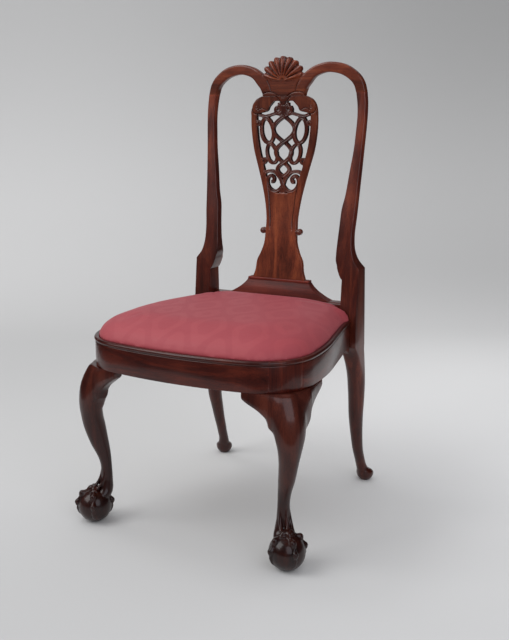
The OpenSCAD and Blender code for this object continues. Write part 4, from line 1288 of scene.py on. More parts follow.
@dataclass
class RearPost:
    """Rear leg with its pad foot and the stile above it, sawn from one plank."""

    plan: SeatPlan
    top_z: float = 903.0
    post_w: float = 39.0
    post_d: float = 38.0
    post_swell: float = 17.0
    shoulder_h: float = 112.0
    hollow_h: float = 87.0
    shoulder_in: float = 21.0
    hollow_in: float = 12.8
    stile_belly: float = 33.5
    stile_w: float = 19.5
    stile_d: float = 22.0
    back_rake: float = 60.0
    leg_r: float = 20.3
    ankle_r: float = 11.8
    pad_r: float = 20.0
    pad_h: float = 29.0
    pad_out: float = 7.0
    bracket_l: float = 24.0
    bracket_h: float = 15.0

    def __post_init__(self) -> None:
        """Works out the post's faces."""
        self.outer = self.plan.back_w / 2
        self.inner = self.outer - self.post_w
        self.shoulder_z = self.plan.rim_h + self.shoulder_h
        self.hollow_z = self.plan.rim_h + self.hollow_h

    def share(self, z: float) -> float:
        """Share of the stile's length at a height above its shoulder."""
        return (z - self.shoulder_z) / (self.top_z - self.shoulder_z)

    def out_x(self, z: float) -> float:
        """Outer face at a height.

        Args:
            z: The height.

        Returns:
            Its x.
        """
        rows = [
            [0, 0], [0.04, 0.55], [0.075, 0.8], [0.12, 0.95], [0.2, 1], [0.3, 0.88],
            [0.45, 0.76], [0.7, 0.55], [0.85, 0.42], [0.94, 0.44], [1, 0.55],
        ]
        if z <= self.shoulder_z:
            return self.outer
        return self.outer - self.shoulder_in * smooth(rows, self.share(z))

    def in_x(self, z: float) -> float:
        """Inner face at a height.

        Args:
            z: The height.

        Returns:
            Its x.
        """
        slim, belly, post_w, hollow = self.stile_w, self.stile_belly, self.post_w, self.hollow_in
        rows = [
            [0, post_w + hollow], [0.02, post_w + hollow * 0.65], [0.09, belly + 5], [0.2, belly],
            [0.33, belly], [0.42, mix(slim, belly, 0.62)], [0.55, mix(slim, belly, 0.35)],
            [0.68, slim + 0.7], [0.78, slim], [0.88, slim], [1, slim + 2.5],
        ]
        if z <= self.hollow_z:
            return self.inner
        if z < self.shoulder_z:
            return self.inner - hollow * ((z - self.hollow_z) / (self.shoulder_z - self.hollow_z)) ** 0.65
        return self.out_x(z) - smooth(rows, self.share(z))

    def front(self, z: float) -> float:
        """Front face at a height.

        Args:
            z: The height.

        Returns:
            Its y.
        """
        rows = [[0, 0], [0.225, 0.2], [0.4, 0.385], [0.57, 0.6], [0.75, 0.8], [0.94, 0.967], [1, 1]]
        rise = max(z - self.plan.rim_h, 0) / (self.top_z - self.plan.rim_h)
        return self.plan.post_y + self.back_rake * smooth(rows, rise)

    def back(self, z: float) -> float:
        """Back face at a height.

        Args:
            z: The height.

        Returns:
            Its y.
        """
        thick, slim = self.post_d, self.stile_d
        rows = [[0, thick], [0.04, thick - 5], [0.1, slim + 5], [0.2, slim + 2], [1, slim]]
        if z > self.shoulder_z:
            return self.front(z) + smooth(rows, self.share(z))
        low = self.plan.post_y + self.post_d + self.post_swell
        t = (z - self.plan.leg_top) / (self.shoulder_z - self.plan.leg_top)
        return mix(low, self.front(self.shoulder_z) + self.post_d, t)

    def leg_rows(self) -> Rows:
        """The rear leg as rows [height, x from its middle, y, half width, half depth, corner radius].

        Returns:
            The rows, from the pad up.
        """
        a, p, b, h, f = self.ankle_r, self.pad_r, self.leg_r, self.plan.leg_top, self.pad_h
        w, o, q, y = self.post_w / 2, self.pad_out - 2, self.plan.post_y, self.plan.depth / 2 - self.pad_r
        round_rows = [
            [0, o, y, p - 9], [0.1 * f, o, y, p - 6], [0.3 * f, o, y, p - 2], [0.55 * f, o, y, p],
            [0.75 * f, o - 0.5, y - 2, p - 1], [0.9 * f, o - 2, y - 5, p - 4], [f, o - 3.5, y - 8, a + 2],
            [0.121 * h, o - 6, y - 13, a + 0.2], [0.17 * h, o - 7, y - 20, a],
            [0.23 * h, o - 8, y - 28, a + 0.5], [0.308 * h, -2.5, y - 36.4, mix(a, b, 0.18)],
            [0.406 * h, -1.5, y - 45, mix(a, b, 0.38)], [0.504 * h, 0, q + 58, mix(a, b, 0.59)],
            [0.624 * h, 0, q + 59, mix(a, b, 0.8)], [0.754 * h, -0.3, q + 57, b],
        ]
        square_rows = [
            [0.835 * h, -0.3, q + 51, w, w + 1.5, 0.75 * w], [0.915 * h, 0, q + 41, w, w + 2, 0.42 * w],
            [0.964 * h, 0, q + 33, w, w + 3.5, 0.2 * w], [h - 3, 0, q + 29, w, w + 7, 2.5],
        ]
        return [[*r, r[3], r[3]] for r in round_rows] + square_rows

    def post(self) -> Shell:
        """The whole post.

        Returns:
            Its skin.
        """
        rows = self.leg_rows()
        middle = (self.inner + self.outer) / 2
        rings = []
        for z in np.r_[np.linspace(0, 40, 24), np.linspace(44, rows[-1][0], 80)]:
            dx, y, w, d, r = (smooth(rows, z, c) for c in (1, 2, 3, 4, 5))
            r = min(r, w - 0.01, d - 0.01)
            rings.append(block_ring(middle + dx - w, middle + dx + w, y - d, y + d, r, r, z))
        spans = (
            (self.plan.leg_top, self.hollow_z, 12), (self.hollow_z + 2, self.shoulder_z + 44, 36),
            (self.shoulder_z + 50, self.top_z, 60),
        )
        for z in np.concatenate([np.linspace(*span) for span in spans]):
            t = min(max(self.share(z) * 8, 0), 1)
            faces = self.in_x(z), self.out_x(z), self.front(z), self.back(z)
            rings.append(block_ring(*faces, mix(1.2, 4, t), mix(1.5, 8, t), z))
        return loft(rings)

    def bracket(self) -> Shell:
        """Small bracket under the side rail at the post.

        Returns:
            Its skin.
        """
        rows = [[0, 0.2], [0.3, 0.28], [0.6, 0.48], [0.85, 0.78], [1, 1]]
        top, over, inner = self.plan.leg_top, self.plan.lip_over, self.plan.rail_t - 12
        rings = []
        for share in np.linspace(0, 1, 24):
            low = top - smooth(rows, share) * self.bracket_h
            section = [
                [over + 2.4, low], [inner, low], [inner, top], [over + 1, top], [over + 1, low + 1.6],
                [over + 1.5, low + 0.4],
            ]
            station = self.plan.before_post(self.bracket_l * (1 - share))
            rings.append(run(station[None], np.array(section))[0])
        return loft(rings)

    def build(self, wood: Material) -> None:
        """Makes both posts and their brackets.

        Args:
            wood: Mahogany with its grain upright.
        """
        post, bracket = self.post(), self.bracket()
        sides = (("right", post, bracket), ("left", post.mirrored(), bracket.mirrored()))
        for side, plank, small in sides:
            make(f"{side}_post", plank, wood, replaces=[f"{side}_rear_post"], sharp=50)
            make(f"{side}_post_bracket", small, wood, replaces=[f"{side}_rear_bracket"])


# Crest


@dataclass
class Crest:
    """Crest rail: two arches, the neck between them and the carved shell, all from one board."""

    plan: SeatPlan
    post: RearPost
    height: float = 985.0
    crest_bow: float = 3.0
    crest_d: float = 20.0
    neck_w: float = 104.0
    neck_z: float = 897.0
    yoke_w: float = 22.5
    shell_r: float = 54.0
    lobes: int = 7
    lobe_a: float = 19.0
    relief: float = 9.0

    def __post_init__(self) -> None:
        """Works out the crest's face."""
        self.face = self.plan.post_y + self.post.back_rake - self.crest_bow
        self.shell_z = self.height - self.shell_r

    def yoke(self) -> Shell:
        """The right arch, from the stile to the neck.

        Returns:
            Its skin.
        """
        z, h, w = self.post.top_z, self.height, self.yoke_w
        x = (self.post.in_x(z) + self.post.out_x(z)) / 2
        d, face, bow, n = self.crest_d, self.face, self.crest_bow, self.neck_w / 2
        rows = [
            [0, x, z, self.post.stile_w + 2.5, self.post.stile_d, face + bow],
            [1, x * 0.967, h - 63, w, self.post.stile_d, face + bow],
            [2, x * 0.897, h - 47, w + 0.5, d + 1, face + bow],
            [3, x * 0.768, h - 32.5, w + 1, d, face + 0.8 * bow],
            [4, x * 0.602, h - 27, w, d, face + 0.5 * bow],
            [5, x * 0.467, h - 31.5, w, d, face + 0.25 * bow],
            [6, n + 18, h - 40, w + 1, d, face],
            [7, n + 4, h - 54, w + 4, d, face],
            [8, n - 7, h - 70, w, d, face],
        ]

        def at(t: float) -> Array:
            """Middle of the arch at a share of its rows."""
            return np.array([smooth(rows, t, 1), 0.0, smooth(rows, t, 2)])

        rings = []
        for t in np.linspace(0, 8, 130):
            step = at(min(t + 0.05, 8)) - at(max(t - 0.05, 0)) if t else UP
            along = step / np.linalg.norm(step)
            across = np.array([along[2], 0.0, -along[0]])
            width, deep, y = (smooth(rows, t, c) for c in (3, 4, 5))
            flat = block_ring(-width / 2, width / 2, y, y + deep, 4.0, 8.0, 0.0)
            rings.append(at(t) + flat[:, :1] * across + flat[:, 1:2] * BACK)
        return loft(rings)

    def neck(self) -> Shell:
        """The plain field under the shell.

        Returns:
            Its skin.
        """
        n, z = self.neck_w / 2, self.neck_z
        rows = [[0, n], [8, n + 2], [20, n + 7], [34, n + 8], [50, n - 3]]
        rings = [
            block_ring(-w, w, self.face + 0.3, self.face + self.crest_d, 1.5, 4.0, z + s)
            for s in np.linspace(0, 50, 30)
            for w in [smooth(rows, s)]
        ]
        return loft(rings)

    def fan(self) -> Shell:
        """The shell: convex lobes that spread from a point, with deep narrow valleys between them.

        Returns:
            Its skin.
        """
        edge = self.lobe_a * self.lobes / 2
        end = edge + 22
        rhos = np.linspace(1, 0.1, 34)
        back = self.face + self.crest_d * 0.65
        rings = []
        for a in np.linspace(-end, end, 211):
            over = max(abs(a) - edge + 4, 0) / (end - edge + 4)
            ridge = abs(math.cos(math.radians(180 * a / self.lobe_a)))
            r = self.shell_r * (0.86 + 0.14 * ridge**0.7) * (1 - 0.45 * over * over)
            s, c = turned(a)
            out, base = r * np.array([s, 0.0, c]), self.shell_z * UP
            lift = self.relief * (0.08 + 0.92 * ridge**0.9) * np.sin(np.radians(25 + 130 * rhos)) ** 1.4
            lift = lift + 1.6 * np.clip((rhos - 0.82) / 0.18, 0, 1) ** 2 * ridge
            front = [base + rho * out + (self.face + 1 - f) * BACK for rho, f in zip(rhos, lift)]
            rear = [base + rho * out + y * BACK for rho, y in ((0.1, back), (0.97, back), (1.0, back - 3))]
            rings.append(rear + front)
        return loft(rings)

    def carved(self) -> tuple[Shell, Array]:
        """The whole crest in one, with the lines cut into its neck.

        Returns:
            Its skin, and which of its faces are cuts or the shell's valleys, painted darker as shade.
        """
        yoke = self.yoke()
        shell = fused([yoke, yoke.mirrored(), self.neck(), self.fan()], 1.0, 1)
        p = shell.points
        ahead = p[:, 1] < self.face + 3
        x, z = np.abs(p[:, 0]), p[:, 2]
        # Two arched lines that meet in the middle, where the birds' necks start, and the yoke's edges
        arch = np.array([[55.5, 900.5], [45, 905.5], [30, 906.5], [16, 901], [7, 893], [1, 884]])
        edge = np.array([[40.5, 932], [34.5, 920], [31, 909]])
        cut = np.zeros(len(p))
        for line, depth, wide in ((arch, 2.2, 1.1), (edge, 1.6, 1.1)):
            cut += np.where(ahead, depth * np.exp(-((line_distance(line, x, z) / wide) ** 2)), 0)
        p[:, 1] += cut
        # The shell's valleys and the cut lines take the darker finish: painted shade
        angle = np.degrees(np.arctan2(p[:, 0], z - self.shell_z))
        reach = np.hypot(p[:, 0], z - self.shell_z)
        valley = np.abs(np.cos(np.radians(180 * angle / self.lobe_a))) < 0.4
        valley &= (np.abs(angle) < self.lobe_a * self.lobes / 2 + 3) & (reach > 9) & (reach < self.shell_r)
        return shell, waxed_faces(shell, (cut > 0.75) | (valley & ahead))

    def build(self, wood: Material, carving: Material) -> None:
        """Makes the crest.

        Args:
            wood: Mahogany with its grain across the chair.
            carving: Darker mahogany painted as shade on its cuts and the shell's valleys.
        """
        shell, dark = self.carved()
        piece = make("crest_carved", shell, wood, slot="crest_mahogany", replaces=["crest_rail"])
        piece.data.materials.append(carving)
        piece.data.polygons.foreach_set("material_index", dark)


def waxed_faces(shell: Shell, dark: Array) -> Array:
    """Material number of each face: 1, the darker finish of painted shade, where most of its corners are
    marked, else 0.
    """
    return np.array([2 * dark[list(f)].sum() > len(f) for f in shell.faces], np.int32)


def line_distance(line: Array, x: Array, z: Array) -> Array:
    """Distance of points to a smooth line.

    Args:
        line: Points [x, z] of the line.
        x: The points' x.
        z: The points' z.

    Returns:
        The distances.
    """
    t = np.arange(len(line))
    fine = np.linspace(0, len(line) - 1, 12 * len(line))
    lx = smooth(np.stack([t, line[:, 0]], -1), fine)
    lz = smooth(np.stack([t, line[:, 1]], -1), fine)
    best = np.full(len(x), 1e9)
    for x0, z0, x1, z1 in zip(lx, lz, lx[1:], lz[1:]):
        dx, dz = x1 - x0, z1 - z0
        s = np.clip(((x - x0) * dx + (z - z0) * dz) / (dx * dx + dz * dz), 0, 1)
        best = np.minimum(best, np.hypot(x - x0 - s * dx, z - z0 - s * dz))
    return best


# Splat


@dataclass
class Splat:
    """Vase splat, bent to the back's rake and pierced with interlaced strapwork.

    Its heights count from its foot (z0), and those of the pierced field from field0.
    """

    plan: SeatPlan
    crest: Crest
    foot_w: float = 134.0
    waist_w: float = 79.0
    widest: float = 167.0
    thick: float = 11.5
    boss_d: float = 15.0
    boss_z: float = 109.0
    border: float = 15.5
    strap_w: float = 9.0
    pierce_z: float = 196.0
    weave: float = 1.7
    bead_top: float = 858.0
    bead_w: float = 11.0
    eye_at: tuple[float, float] = (68.5, 873.0)

    def __post_init__(self) -> None:
        """Works out the splat's ends and its pierced field."""
        self.z0 = self.plan.rim_h + SeatFrame.rear_rise + SeatFrame.shoe_h
        self.z1 = self.crest.neck_z
        self.foot_y = self.plan.post_y + SeatFrame.rear_t - SeatFrame.rear_wall + SeatFrame.shoe_slope + 3.0
        self.field0, self.field1 = self.z0 + self.pierce_z, self.z1 - 11
        self.boss_x = self.waist_w / 2 + 0.42 * self.boss_d

    def half(self, z: Any) -> Array:
        """Half width at a height.

        Args:
            z: The height.

        Returns:
            The half width.
        """
        w, s, f = self.waist_w, self.widest, self.foot_w / 2
        rows = [
            [0, f], [0.043, f - 6], [0.099, f - 9.5], [0.142, w / 2 + 9.5], [0.202, w / 2 + 1.5],
            [0.284, w / 2], [0.337, w / 2], [0.429, mix(w, s, 0.12) / 2], [0.525, mix(w, s, 0.33) / 2],
            [0.614, mix(w, s, 0.57) / 2], [0.711, mix(w, s, 0.83) / 2], [0.81, s / 2 - 1.2],
            [0.887, s / 2], [0.947, s / 2 - 3], [0.983, s / 2 - 13], [1, self.crest.neck_w / 2 + 4],
        ]
        return smooth(rows, (np.asarray(z, float) - self.z0) / (self.z1 - self.z0))

    def front(self, z: Any) -> Array:
        """Front face at a height.

        Args:
            z: The height.

        Returns:
            Its y.
        """
        rows = [
            [0, 0], [0.13, 0.24], [0.26, 0.46], [0.38, 0.67], [0.52, 0.83], [0.72, 0.96], [0.9, 1], [1, 1],
        ]
        lean = smooth(rows, (np.asarray(z, float) - self.z0) / (self.z1 - self.z0))
        return mix(self.foot_y, self.crest.face + 2, lean)

    def opening(self, z: Any) -> Array:
        """Half width of the pierced field at a height, 0 outside it.

        Args:
            z: The height.

        Returns:
            The half width.
        """
        rows = [
            [0, 16], [0.03, 30], [0.09, 41], [0.16, 60], [0.84, 90], [0.872, 60], [0.89, 43],
            [0.94, 36], [1, 24],
        ]
        z = np.asarray(z, float)
        share = (z - self.field0) / (self.field1 - self.field0)
        inside = (share >= 0) & (share <= 1)
        return np.where(inside, np.minimum(self.half(z) - self.border, smooth(rows, share)), 0)

    def side_board(self) -> Shell:
        """The board's right half, with its inner edge at the pierced field.

        Returns:
            Its skin.
        """
        ends = [self.field0 - 0.01, self.field0, self.field1, self.field1 + 0.01]
        rings = []
        for z in np.unique(np.r_[np.linspace(self.z0, self.z1, 300), ends]):
            y = self.front(z)
            inner = float(self.opening(z)) or -1.0
            rings.append(block_ring(inner, self.half(z), y, y + self.thick, 1.2, 1.0, z))
        return loft(rings)

    def strap(self, line: Array, lift: Any, width: float) -> Shell:
        """A strap with two beads along its face.

        Args:
            line: Points [x, z] along its middle.
            lift: How far its face stands ahead of the splat's, at each point.
            width: Its width.

        Returns:
            Its skin.
        """
        step = np.gradient(line, axis=0)
        step /= np.linalg.norm(step, axis=1)[:, None]
        across = np.stack([step[:, 1], np.zeros(len(line)), -step[:, 0]], -1)
        path = np.stack([line[:, 0], self.front(line[:, 1]), line[:, 1]], -1)
        out = np.repeat([BACK], len(line), axis=0)
        w, back = width / 2, self.thick - 1.5
        profile = [
            [-w, back], [-w, 2.8], [-0.86 * w, 0.9], [-0.6 * w, 0], [-0.3 * w, 0.4], [0, 1.3],
            [0.3 * w, 0.4], [0.6 * w, 0], [0.86 * w, 0.9], [w, 2.8], [w, back],
        ]
        section = np.repeat(np.array(profile)[None], len(line), axis=0)
        lift = np.broadcast_to(lift, len(line))[:, None]
        section[..., 1] -= lift * np.where(section[0, :, 1] > 5, 0.4, 1.0)
        return swept(path, across, out, section)

    def through(self, points: Rows, lift: float, width: float) -> Shell:
        """A strap through a few given points [x, z].

        Args:
            points: The points.
            lift: How far its face stands ahead of the splat's.
            width: Its width.

        Returns:
            Its skin.
        """
        key = np.arange(len(points))
        fine = np.linspace(0, len(points) - 1, 14 * len(points))
        x, z = (smooth(np.column_stack([key, np.array(points)[:, c]]), fine) for c in (0, 1))
        return self.strap(np.stack([x, z], -1), lift, width)

    def hoop(self, x: float, z: float, half: tuple[float, float], tilt: float, share: float) -> Shell:
        """A closed oval strap that weaves over and under what it crosses.

        Args:
            x: Its middle.
            z: Its middle's height.
            half: Its half width and half height.
            tilt: How far it leans in degrees, positive anticlockwise as seen from the front.
            share: Its width as a share of a strap's.

        Returns:
            Its skin.
        """
        a = np.linspace(0, 2 * np.pi, 110)
        u, v = half[0] * np.cos(a), half[1] * np.sin(a)
        s, c = turned(tilt)
        line = np.stack([x + c * u - s * v, z + s * u + c * v], -1)
        return self.strap(line, self.weave * np.sin(2 * a), self.strap_w * share)

    def chain(self, side: int) -> Shell:
        """One of the two straps that wind round each other up the middle of the field.

        Args:
            side: 1 for the one that starts to the right, -1 for the other.

        Returns:
            Its skin.
        """
        nodes = self.field0 + np.array([38.0, 69.0, 116.0, 173.0])
        swing = (15.0, 20.0, 27.0)
        turns = np.linspace(0, 3, 200)
        z = np.interp(turns, np.arange(4), nodes)
        span = np.minimum(turns.astype(int), 2)
        x = side * (-1.0) ** span * np.take(swing, span) * np.abs(np.sin(np.pi * turns)) ** 0.9
        return self.strap(np.stack([x, z], -1), side * self.weave * np.cos(np.pi * turns), self.strap_w)

    def strands(self) -> list[Shell]:
        """The field's interlaced straps: a chain up the middle, with two ovals woven in at each side.

        Returns:
            Their skins.
        """
        foot = self.field0
        made = []
        for side in (1, -1):
            made.append(self.chain(side))
            made.append(self.hoop(side * 42, foot + 142, (15, 28), -10 * side, 1.0))
            made.append(self.hoop(side * 30, foot + 90, (12, 22), -16 * side, 0.9))
        return made

    def scroll(self, x: float, z: float, size: float, turns: float, start: float, hand: int) -> Shell:
        """A scroll that winds in to a small eye.

        Args:
            x: Middle of its eye.
            z: Height of its eye.
            size: Its outer radius.
            turns: How often it winds round.
            start: Angle in degrees at which its outer end starts.
            hand: 1 to wind anticlockwise as seen from the front, -1 the other way.

        Returns:
            Its skin.
        """
        t = np.linspace(0, 1, int(60 * turns))
        a = np.radians(start) + hand * 2 * np.pi * turns * t
        r = size * (1 - 0.86 * t**1.4)
        line = np.stack([x + r * np.cos(a), z + r * np.sin(a)], -1)
        return self.strap(line, 0.4 + 1.3 * t, self.strap_w * min(0.82, 0.07 * size + 0.12))

    def scrolls(self) -> list[Shell]:
        """The scrolls at the field's foot, head and sides, and the stems and swags that carry them.

        Returns:
            Their skins.
        """
        foot, head, wide = self.field0, self.field1, self.strap_w
        lobe = (
            (-50, 38), (-44, 47), (-34.5, 50), (-24, 49), (-16.7, 45), (-5.6, 32), (0, 19), (12, 6.5),
            (24, 4.5), (35, 12), (40, 24), (38, 35), (30, 40), (23, 34), (25, 26), (30, 26),
        )
        swag = ((65, 178), (50, 174.5), (36, 176.5), (22, 180), (10, 178), (0, 172))
        made = []
        for side in (1, -1):
            toward = 0 if side > 0 else 180
            made.append(self.scroll(side * 14.5, head - 18, 11, 1.15, 90, side))
            made.append(self.through([[side * x, head - 18] for x in (8, 14.5, 21)], -0.6, 15))
            for line, lift, share in ((lobe, 0.6 + 0.7 * side, 0.9), (swag, 0.6, 0.8)):
                made.append(self.through([[side * x, foot + up] for x, up in line], lift, wide * share))
            for up, size, hand in ((74, 7.5, -side), (158, 6.0, side)):
                x = self.opening(foot + up) - 3
                made.append(self.scroll(side * x, foot + up, size, 1.2, toward, hand))
        for heights, lift, share in (
            ((foot - 6, foot + 4, foot + 12), -0.4, 2.2),
            ((foot + 168, head - 8, head + 6), 0.8, 1.0),
            ((head - 17, head - 6, head + 8), 0.0, 2.3),
        ):
            made.append(self.through([[0, z] for z in heights], lift, wide * share))
        return made

    def bosses(self) -> list[Shell]:
        """The small scroll bosses on the waist.

        Returns:
            Their skins.
        """
        z, r, back = self.z0 + self.boss_z, self.boss_d / 2, self.thick
        rows = ((-1.4, 0.2), (-1.2, 0.55), (-0.4, 0.85), (0.9, 1.0), (back - 1.5, 1.0), (back, 0.85))
        made = []
        for side in (1, -1):
            middle = np.array([side * self.boss_x, self.front(z), z])
            right = np.array([1.0, 0.0, 0.0])
            made.append(loft([tube(middle + dy * BACK, share * r, UP, right, 36) for dy, share in rows]))
        return made

    def carved(self) -> tuple[Shell, Array]:
        """The whole splat in one, with the lines cut along its border and the birds' heads.

        Returns:
            Its skin, and for each face 1 for a strap or a cut, painted darker as shade, 2 for an opening's
            wall, painted near-black as shadow, else 0.
        """
        board = self.side_board()
        parts = [board, board.mirrored(), *self.strands(), *self.scrolls(), *self.bosses()]
        shell = fused(parts, 0.95, 1)
        p = shell.points
        x, z = np.abs(p[:, 0]), p[:, 2]
        ahead = p[:, 1] < self.front(z) + 3
        cut = np.zeros(len(p))
        # The border is a bead that runs from the heads down the waist to the bosses, rounded at its edge
        edge = self.half(z) - x
        inner = mix(self.border, self.bead_w, np.clip((self.field0 + 24 - z) / 60, 0, 1))
        boss_z = self.z0 + self.boss_z
        span = np.clip((z - boss_z - 2) / 8, 0, 1) * np.clip((self.field0 + 30 - z) / 12, 0, 1)
        cut += 2.0 * span * np.exp(-(((edge - inner) / 1.3) ** 2))
        bead = np.clip((z - boss_z) / 8, 0, 1) * np.clip((self.bead_top - z) / 4, 0, 1)
        cut += 1.8 * bead * np.clip((5 - edge) / 5, 0, 1) ** 2
        # Each bird's head: the line round its crown and throat, its neck's upper line, and its beak
        head = [[64, 893], [73, 887], [79.5, 879], [81, 870], [77, 861.5], [67, 857.5], [55, 859], [46, 863]]
        neck = [[19, 898], [13, 891], [7, 884], [2, 877]]
        beak = [[44, 866], [52, 870], [60, 869.5], [66, 866]]
        for line, depth, wide in ((head, 2.4, 1.1), (neck, 2.2, 1.1), (beak, 1.6, 0.9)):
            cut += depth * np.exp(-((line_distance(np.array(line, float), x, z) / wide) ** 2))
        eye = np.hypot(x - self.eye_at[0], z - self.eye_at[1])
        cut += 1.1 * np.exp(-(((eye - 3.0) / 0.8) ** 2)) - 0.9 * np.exp(-((eye / 1.8) ** 2))
        boss = np.hypot(x - self.boss_x, z - boss_z)
        cut += 1.0 * np.exp(-(((boss - self.boss_d * 0.27) / 0.9) ** 2))
        p[:, 1] += np.where(ahead, cut, 0)
        # Straps, boss rims and cut lines take the darker finish: painted shade
        within = (x < self.opening(z) - 0.5) | ((boss < self.boss_d / 2 + 0.8) & (edge < 3.0))
        shade = waxed_faces(shell, within | (ahead & (cut > 0.75) & (edge > 6)))
        # The openings' walls take a near-black finish: painted shadow
        corners = np.array([f[:3] for f in shell.faces])
        first, second, third = (p[corners[:, k]] for k in range(3))
        middle = (first + second + third) / 3
        out = np.cross(second - first, third - first)
        wall = np.abs(out[:, 1]) < 0.55 * np.linalg.norm(out, axis=1)
        wall &= np.abs(middle[:, 0]) < self.opening(middle[:, 2]) + 1.2
        wall &= middle[:, 1] > self.front(middle[:, 2]) + 2.4
        shade[wall] = 2
        return shell, shade

    def build(self, wood: Material, carving: Material, wall: Material) -> None:
        """Makes the splat.

        Args:
            wood: Mahogany with its grain upright.
            carving: Darker mahogany painted on the straps, boss rims and cut lines as shade.
            wall: Near-black mahogany painted on the openings' walls as shadow.
        """
        shell, dark = self.carved()
        piece = make("splat_carved", shell, wood, replaces=["splat"])
        piece.data.materials.append(carving)
        piece.data.materials.append(wall)
        piece.data.polygons.foreach_set("material_index", dark)


# Slip seat


@dataclass
class SlipSeat:
    """Drop-in seat: oak frame, jute webbing, sackcloth, and the silk over its hair stuffing.

    It lies loose in the rabbet, a gap inside the lip and a hair's breadth (lay) above the ledge. The
    silk rolls out over the lip, is pulled into the corners at the posts, and swells by swell_cap at most.
    """

    plan: SeatPlan
    gap: float = 1.0
    slip_w: float = 48.0
    slip_t: float = 17.0
    cover_t: float = 1.5
    lay: float = 0.25
    edge: float = 4.0
    crown: float = 52.0
    roll: float = 4.5
    web_w: float = 54.0
    web_t: float = 1.4
    web_n: int = 3
    cross_share: float = 1.1
    sack_t: float = 0.8
    pull: float = 11.0
    pull_r: float = 20.0
    swell_cap: float = 4.5

    def __post_init__(self) -> None:
        """Works out the layers' heights."""
        self.inset = self.plan.lip_w + self.gap
        self.base = self.plan.ledge_z + self.lay
        self.top = self.base + self.slip_t
        self.under = self.top + 2 * self.web_t + self.sack_t + 0.3
        self.middle = self.plan.front_y + self.plan.seat_d / 2 + 22

    def crowned(self, inset: float, less: float) -> Shell:
        """Crowned form of the stuffed seat: over the sackcloth in the middle, down outside the slip frame.

        Args:
            inset: Distance inside the rim.
            less: How much lower than the finished silk it is.

        Returns:
            Its skin.
        """
        rows = [
            [0, 0], [0.006, 0.2], [0.02, 0.4], [0.04, 0.55], [0.07, 0.68], [0.12, 0.79], [0.2, 0.88],
            [0.35, 0.96], [0.6, 0.99], [0.85, 1], [1, 1],
        ]
        low, high = self.plan.rim_h + self.edge - less, self.plan.rim_h + self.crown - less
        centre = np.array([0.0, self.middle])
        line = self.plan.outline(inset)
        corner = np.array([line[line[:, 1] > self.plan.post_y - 12, 0].max(), self.plan.post_y - 2])

        def ring(share: float, out: float, z: float) -> Array:
            """The outline drawn to a share of its size, moved outwards at the lip, at a height.

            Args:
                share: The share.
                out: How far it moves outwards.
                z: The height.

            Returns:
                The ring.
            """
            step = np.roll(line, -1, 0) - np.roll(line, 1, 0)
            step /= np.linalg.norm(step, axis=1)[:, None]
            away = np.stack([step[:, 1], -step[:, 0]], -1)
            # The silk rolls out over the lip at the front and the sides, but not at the posts and the back
            free = np.clip((self.plan.post_y - 6 - line[:, 1]) / 12, 0, 1)[:, None]
            flat = mix(centre, line, share) + out * free * away
            # The silk is pulled well into the corners in front of the posts
            for side in (1, -1):
                near = np.hypot(flat[:, 0] - side * corner[0], flat[:, 1] - corner[1])
                flat += self.pull * np.exp(-((near / self.pull_r) ** 2))[:, None] * [0.8 * side, 0.6]
            return level(flat, z)

        rings = [ring(share, 0, self.under) for share in (0.3, 0.7, 0.9)]
        rings += [ring(0.92, 0, self.base + 1.2), ring(0.994, 0, self.base + 0.6)]
        rings += [ring(1, 0, self.base + 1.6), ring(1, 0, self.plan.rim_h - 0.5)]
        for share in (0.5, 0.85, 1.0):
            rings.append(ring(1, self.roll * share, self.plan.rim_h + 1 + (low - self.plan.rim_h) * share))
        spans = ((0.002, 0.04, 16), (0.05, 0.25, 14), (0.3, 0.98, 12))
        for t in np.concatenate([np.linspace(*span) for span in spans]):
            out = self.roll * max(1 - t / 0.05, 0) ** 0.8
            rings.append(ring(1 - t, out, mix(low, high, smooth(rows, t))))
        return loft(rings)

    def cushion(self) -> Shell:
        """The silk, swelled by cloth simulation from a slightly smaller form.

        Returns:
            Its skin.
        """
        shell = self.crowned(self.inset, 4.0)
        base = fused([shell], 5.0, 0)
        cloth_piece = new_mesh("cushion_work", base)
        pins = cloth_piece.vertex_groups.new(name="pins")
        held = np.where(base.points[:, 2] < max(self.plan.rim_h, self.under) + 1.0)[0]
        pins.add([int(i) for i in held], 1.0, "REPLACE")
        cloth = cloth_piece.modifiers.new("cloth", "CLOTH").settings
        cloth.use_pressure = True
        cloth.uniform_pressure_force = 4.0
        cloth.vertex_group_mass = "pins"
        cloth.effector_weights.gravity = 0.0
        cloth.quality = 5
        cloth.mass = 0.3
        cloth.tension_stiffness = cloth.compression_stiffness = 18.0
        cloth.bending_stiffness = 1.5
        for number in range(1, 21):
            bpy.context.scene.frame_set(number)
        swelled = read_mesh(cloth_piece)
        bpy.context.scene.frame_set(1)
        move = swelled.points - base.points
        length = np.linalg.norm(move, axis=1)
        move *= (np.minimum(length, self.swell_cap) / np.maximum(length, 1e-9))[:, None]
        # The silk is drawn tight over hair: its broad swell stays, and a fifth of its finer puckers
        broad = relaxed(Shell(move.copy(), base.faces), 40).points
        base.points += broad + 0.2 * (move - broad)
        high = self.plan.rim_h + self.crown - 2.0
        over = np.maximum(base.points[:, 2] - high, 0)
        base.points[:, 2] += 2.0 * np.tanh(over / 2.0) - over
        return base

    def fitted(self, shell: Shell) -> Shell:
        """Keeps the silk clear of the rails, the rear rail and the posts.

        Args:
            shell: The silk, which is changed.

        Returns:
            The silk.
        """
        p = shell.points
        p[:, 1] = np.minimum(p[:, 1], self.plan.post_y + self.plan.slip_back)
        notch_x, notch_y = self.plan.notch_x, self.plan.notch_y
        by_post = (np.abs(p[:, 0]) > notch_x) & (p[:, 1] > notch_y)
        side = np.abs(p[:, 0]) - notch_x < p[:, 1] - notch_y
        p[:, 0] = np.where(by_post & side, np.sign(p[:, 0]) * notch_x, p[:, 0])
        p[:, 1] = np.where(by_post & ~side, notch_y, p[:, 1])
        p[:, 2] = np.clip(p[:, 2], self.base + 0.5, self.plan.rim_h + self.crown)
        return shell

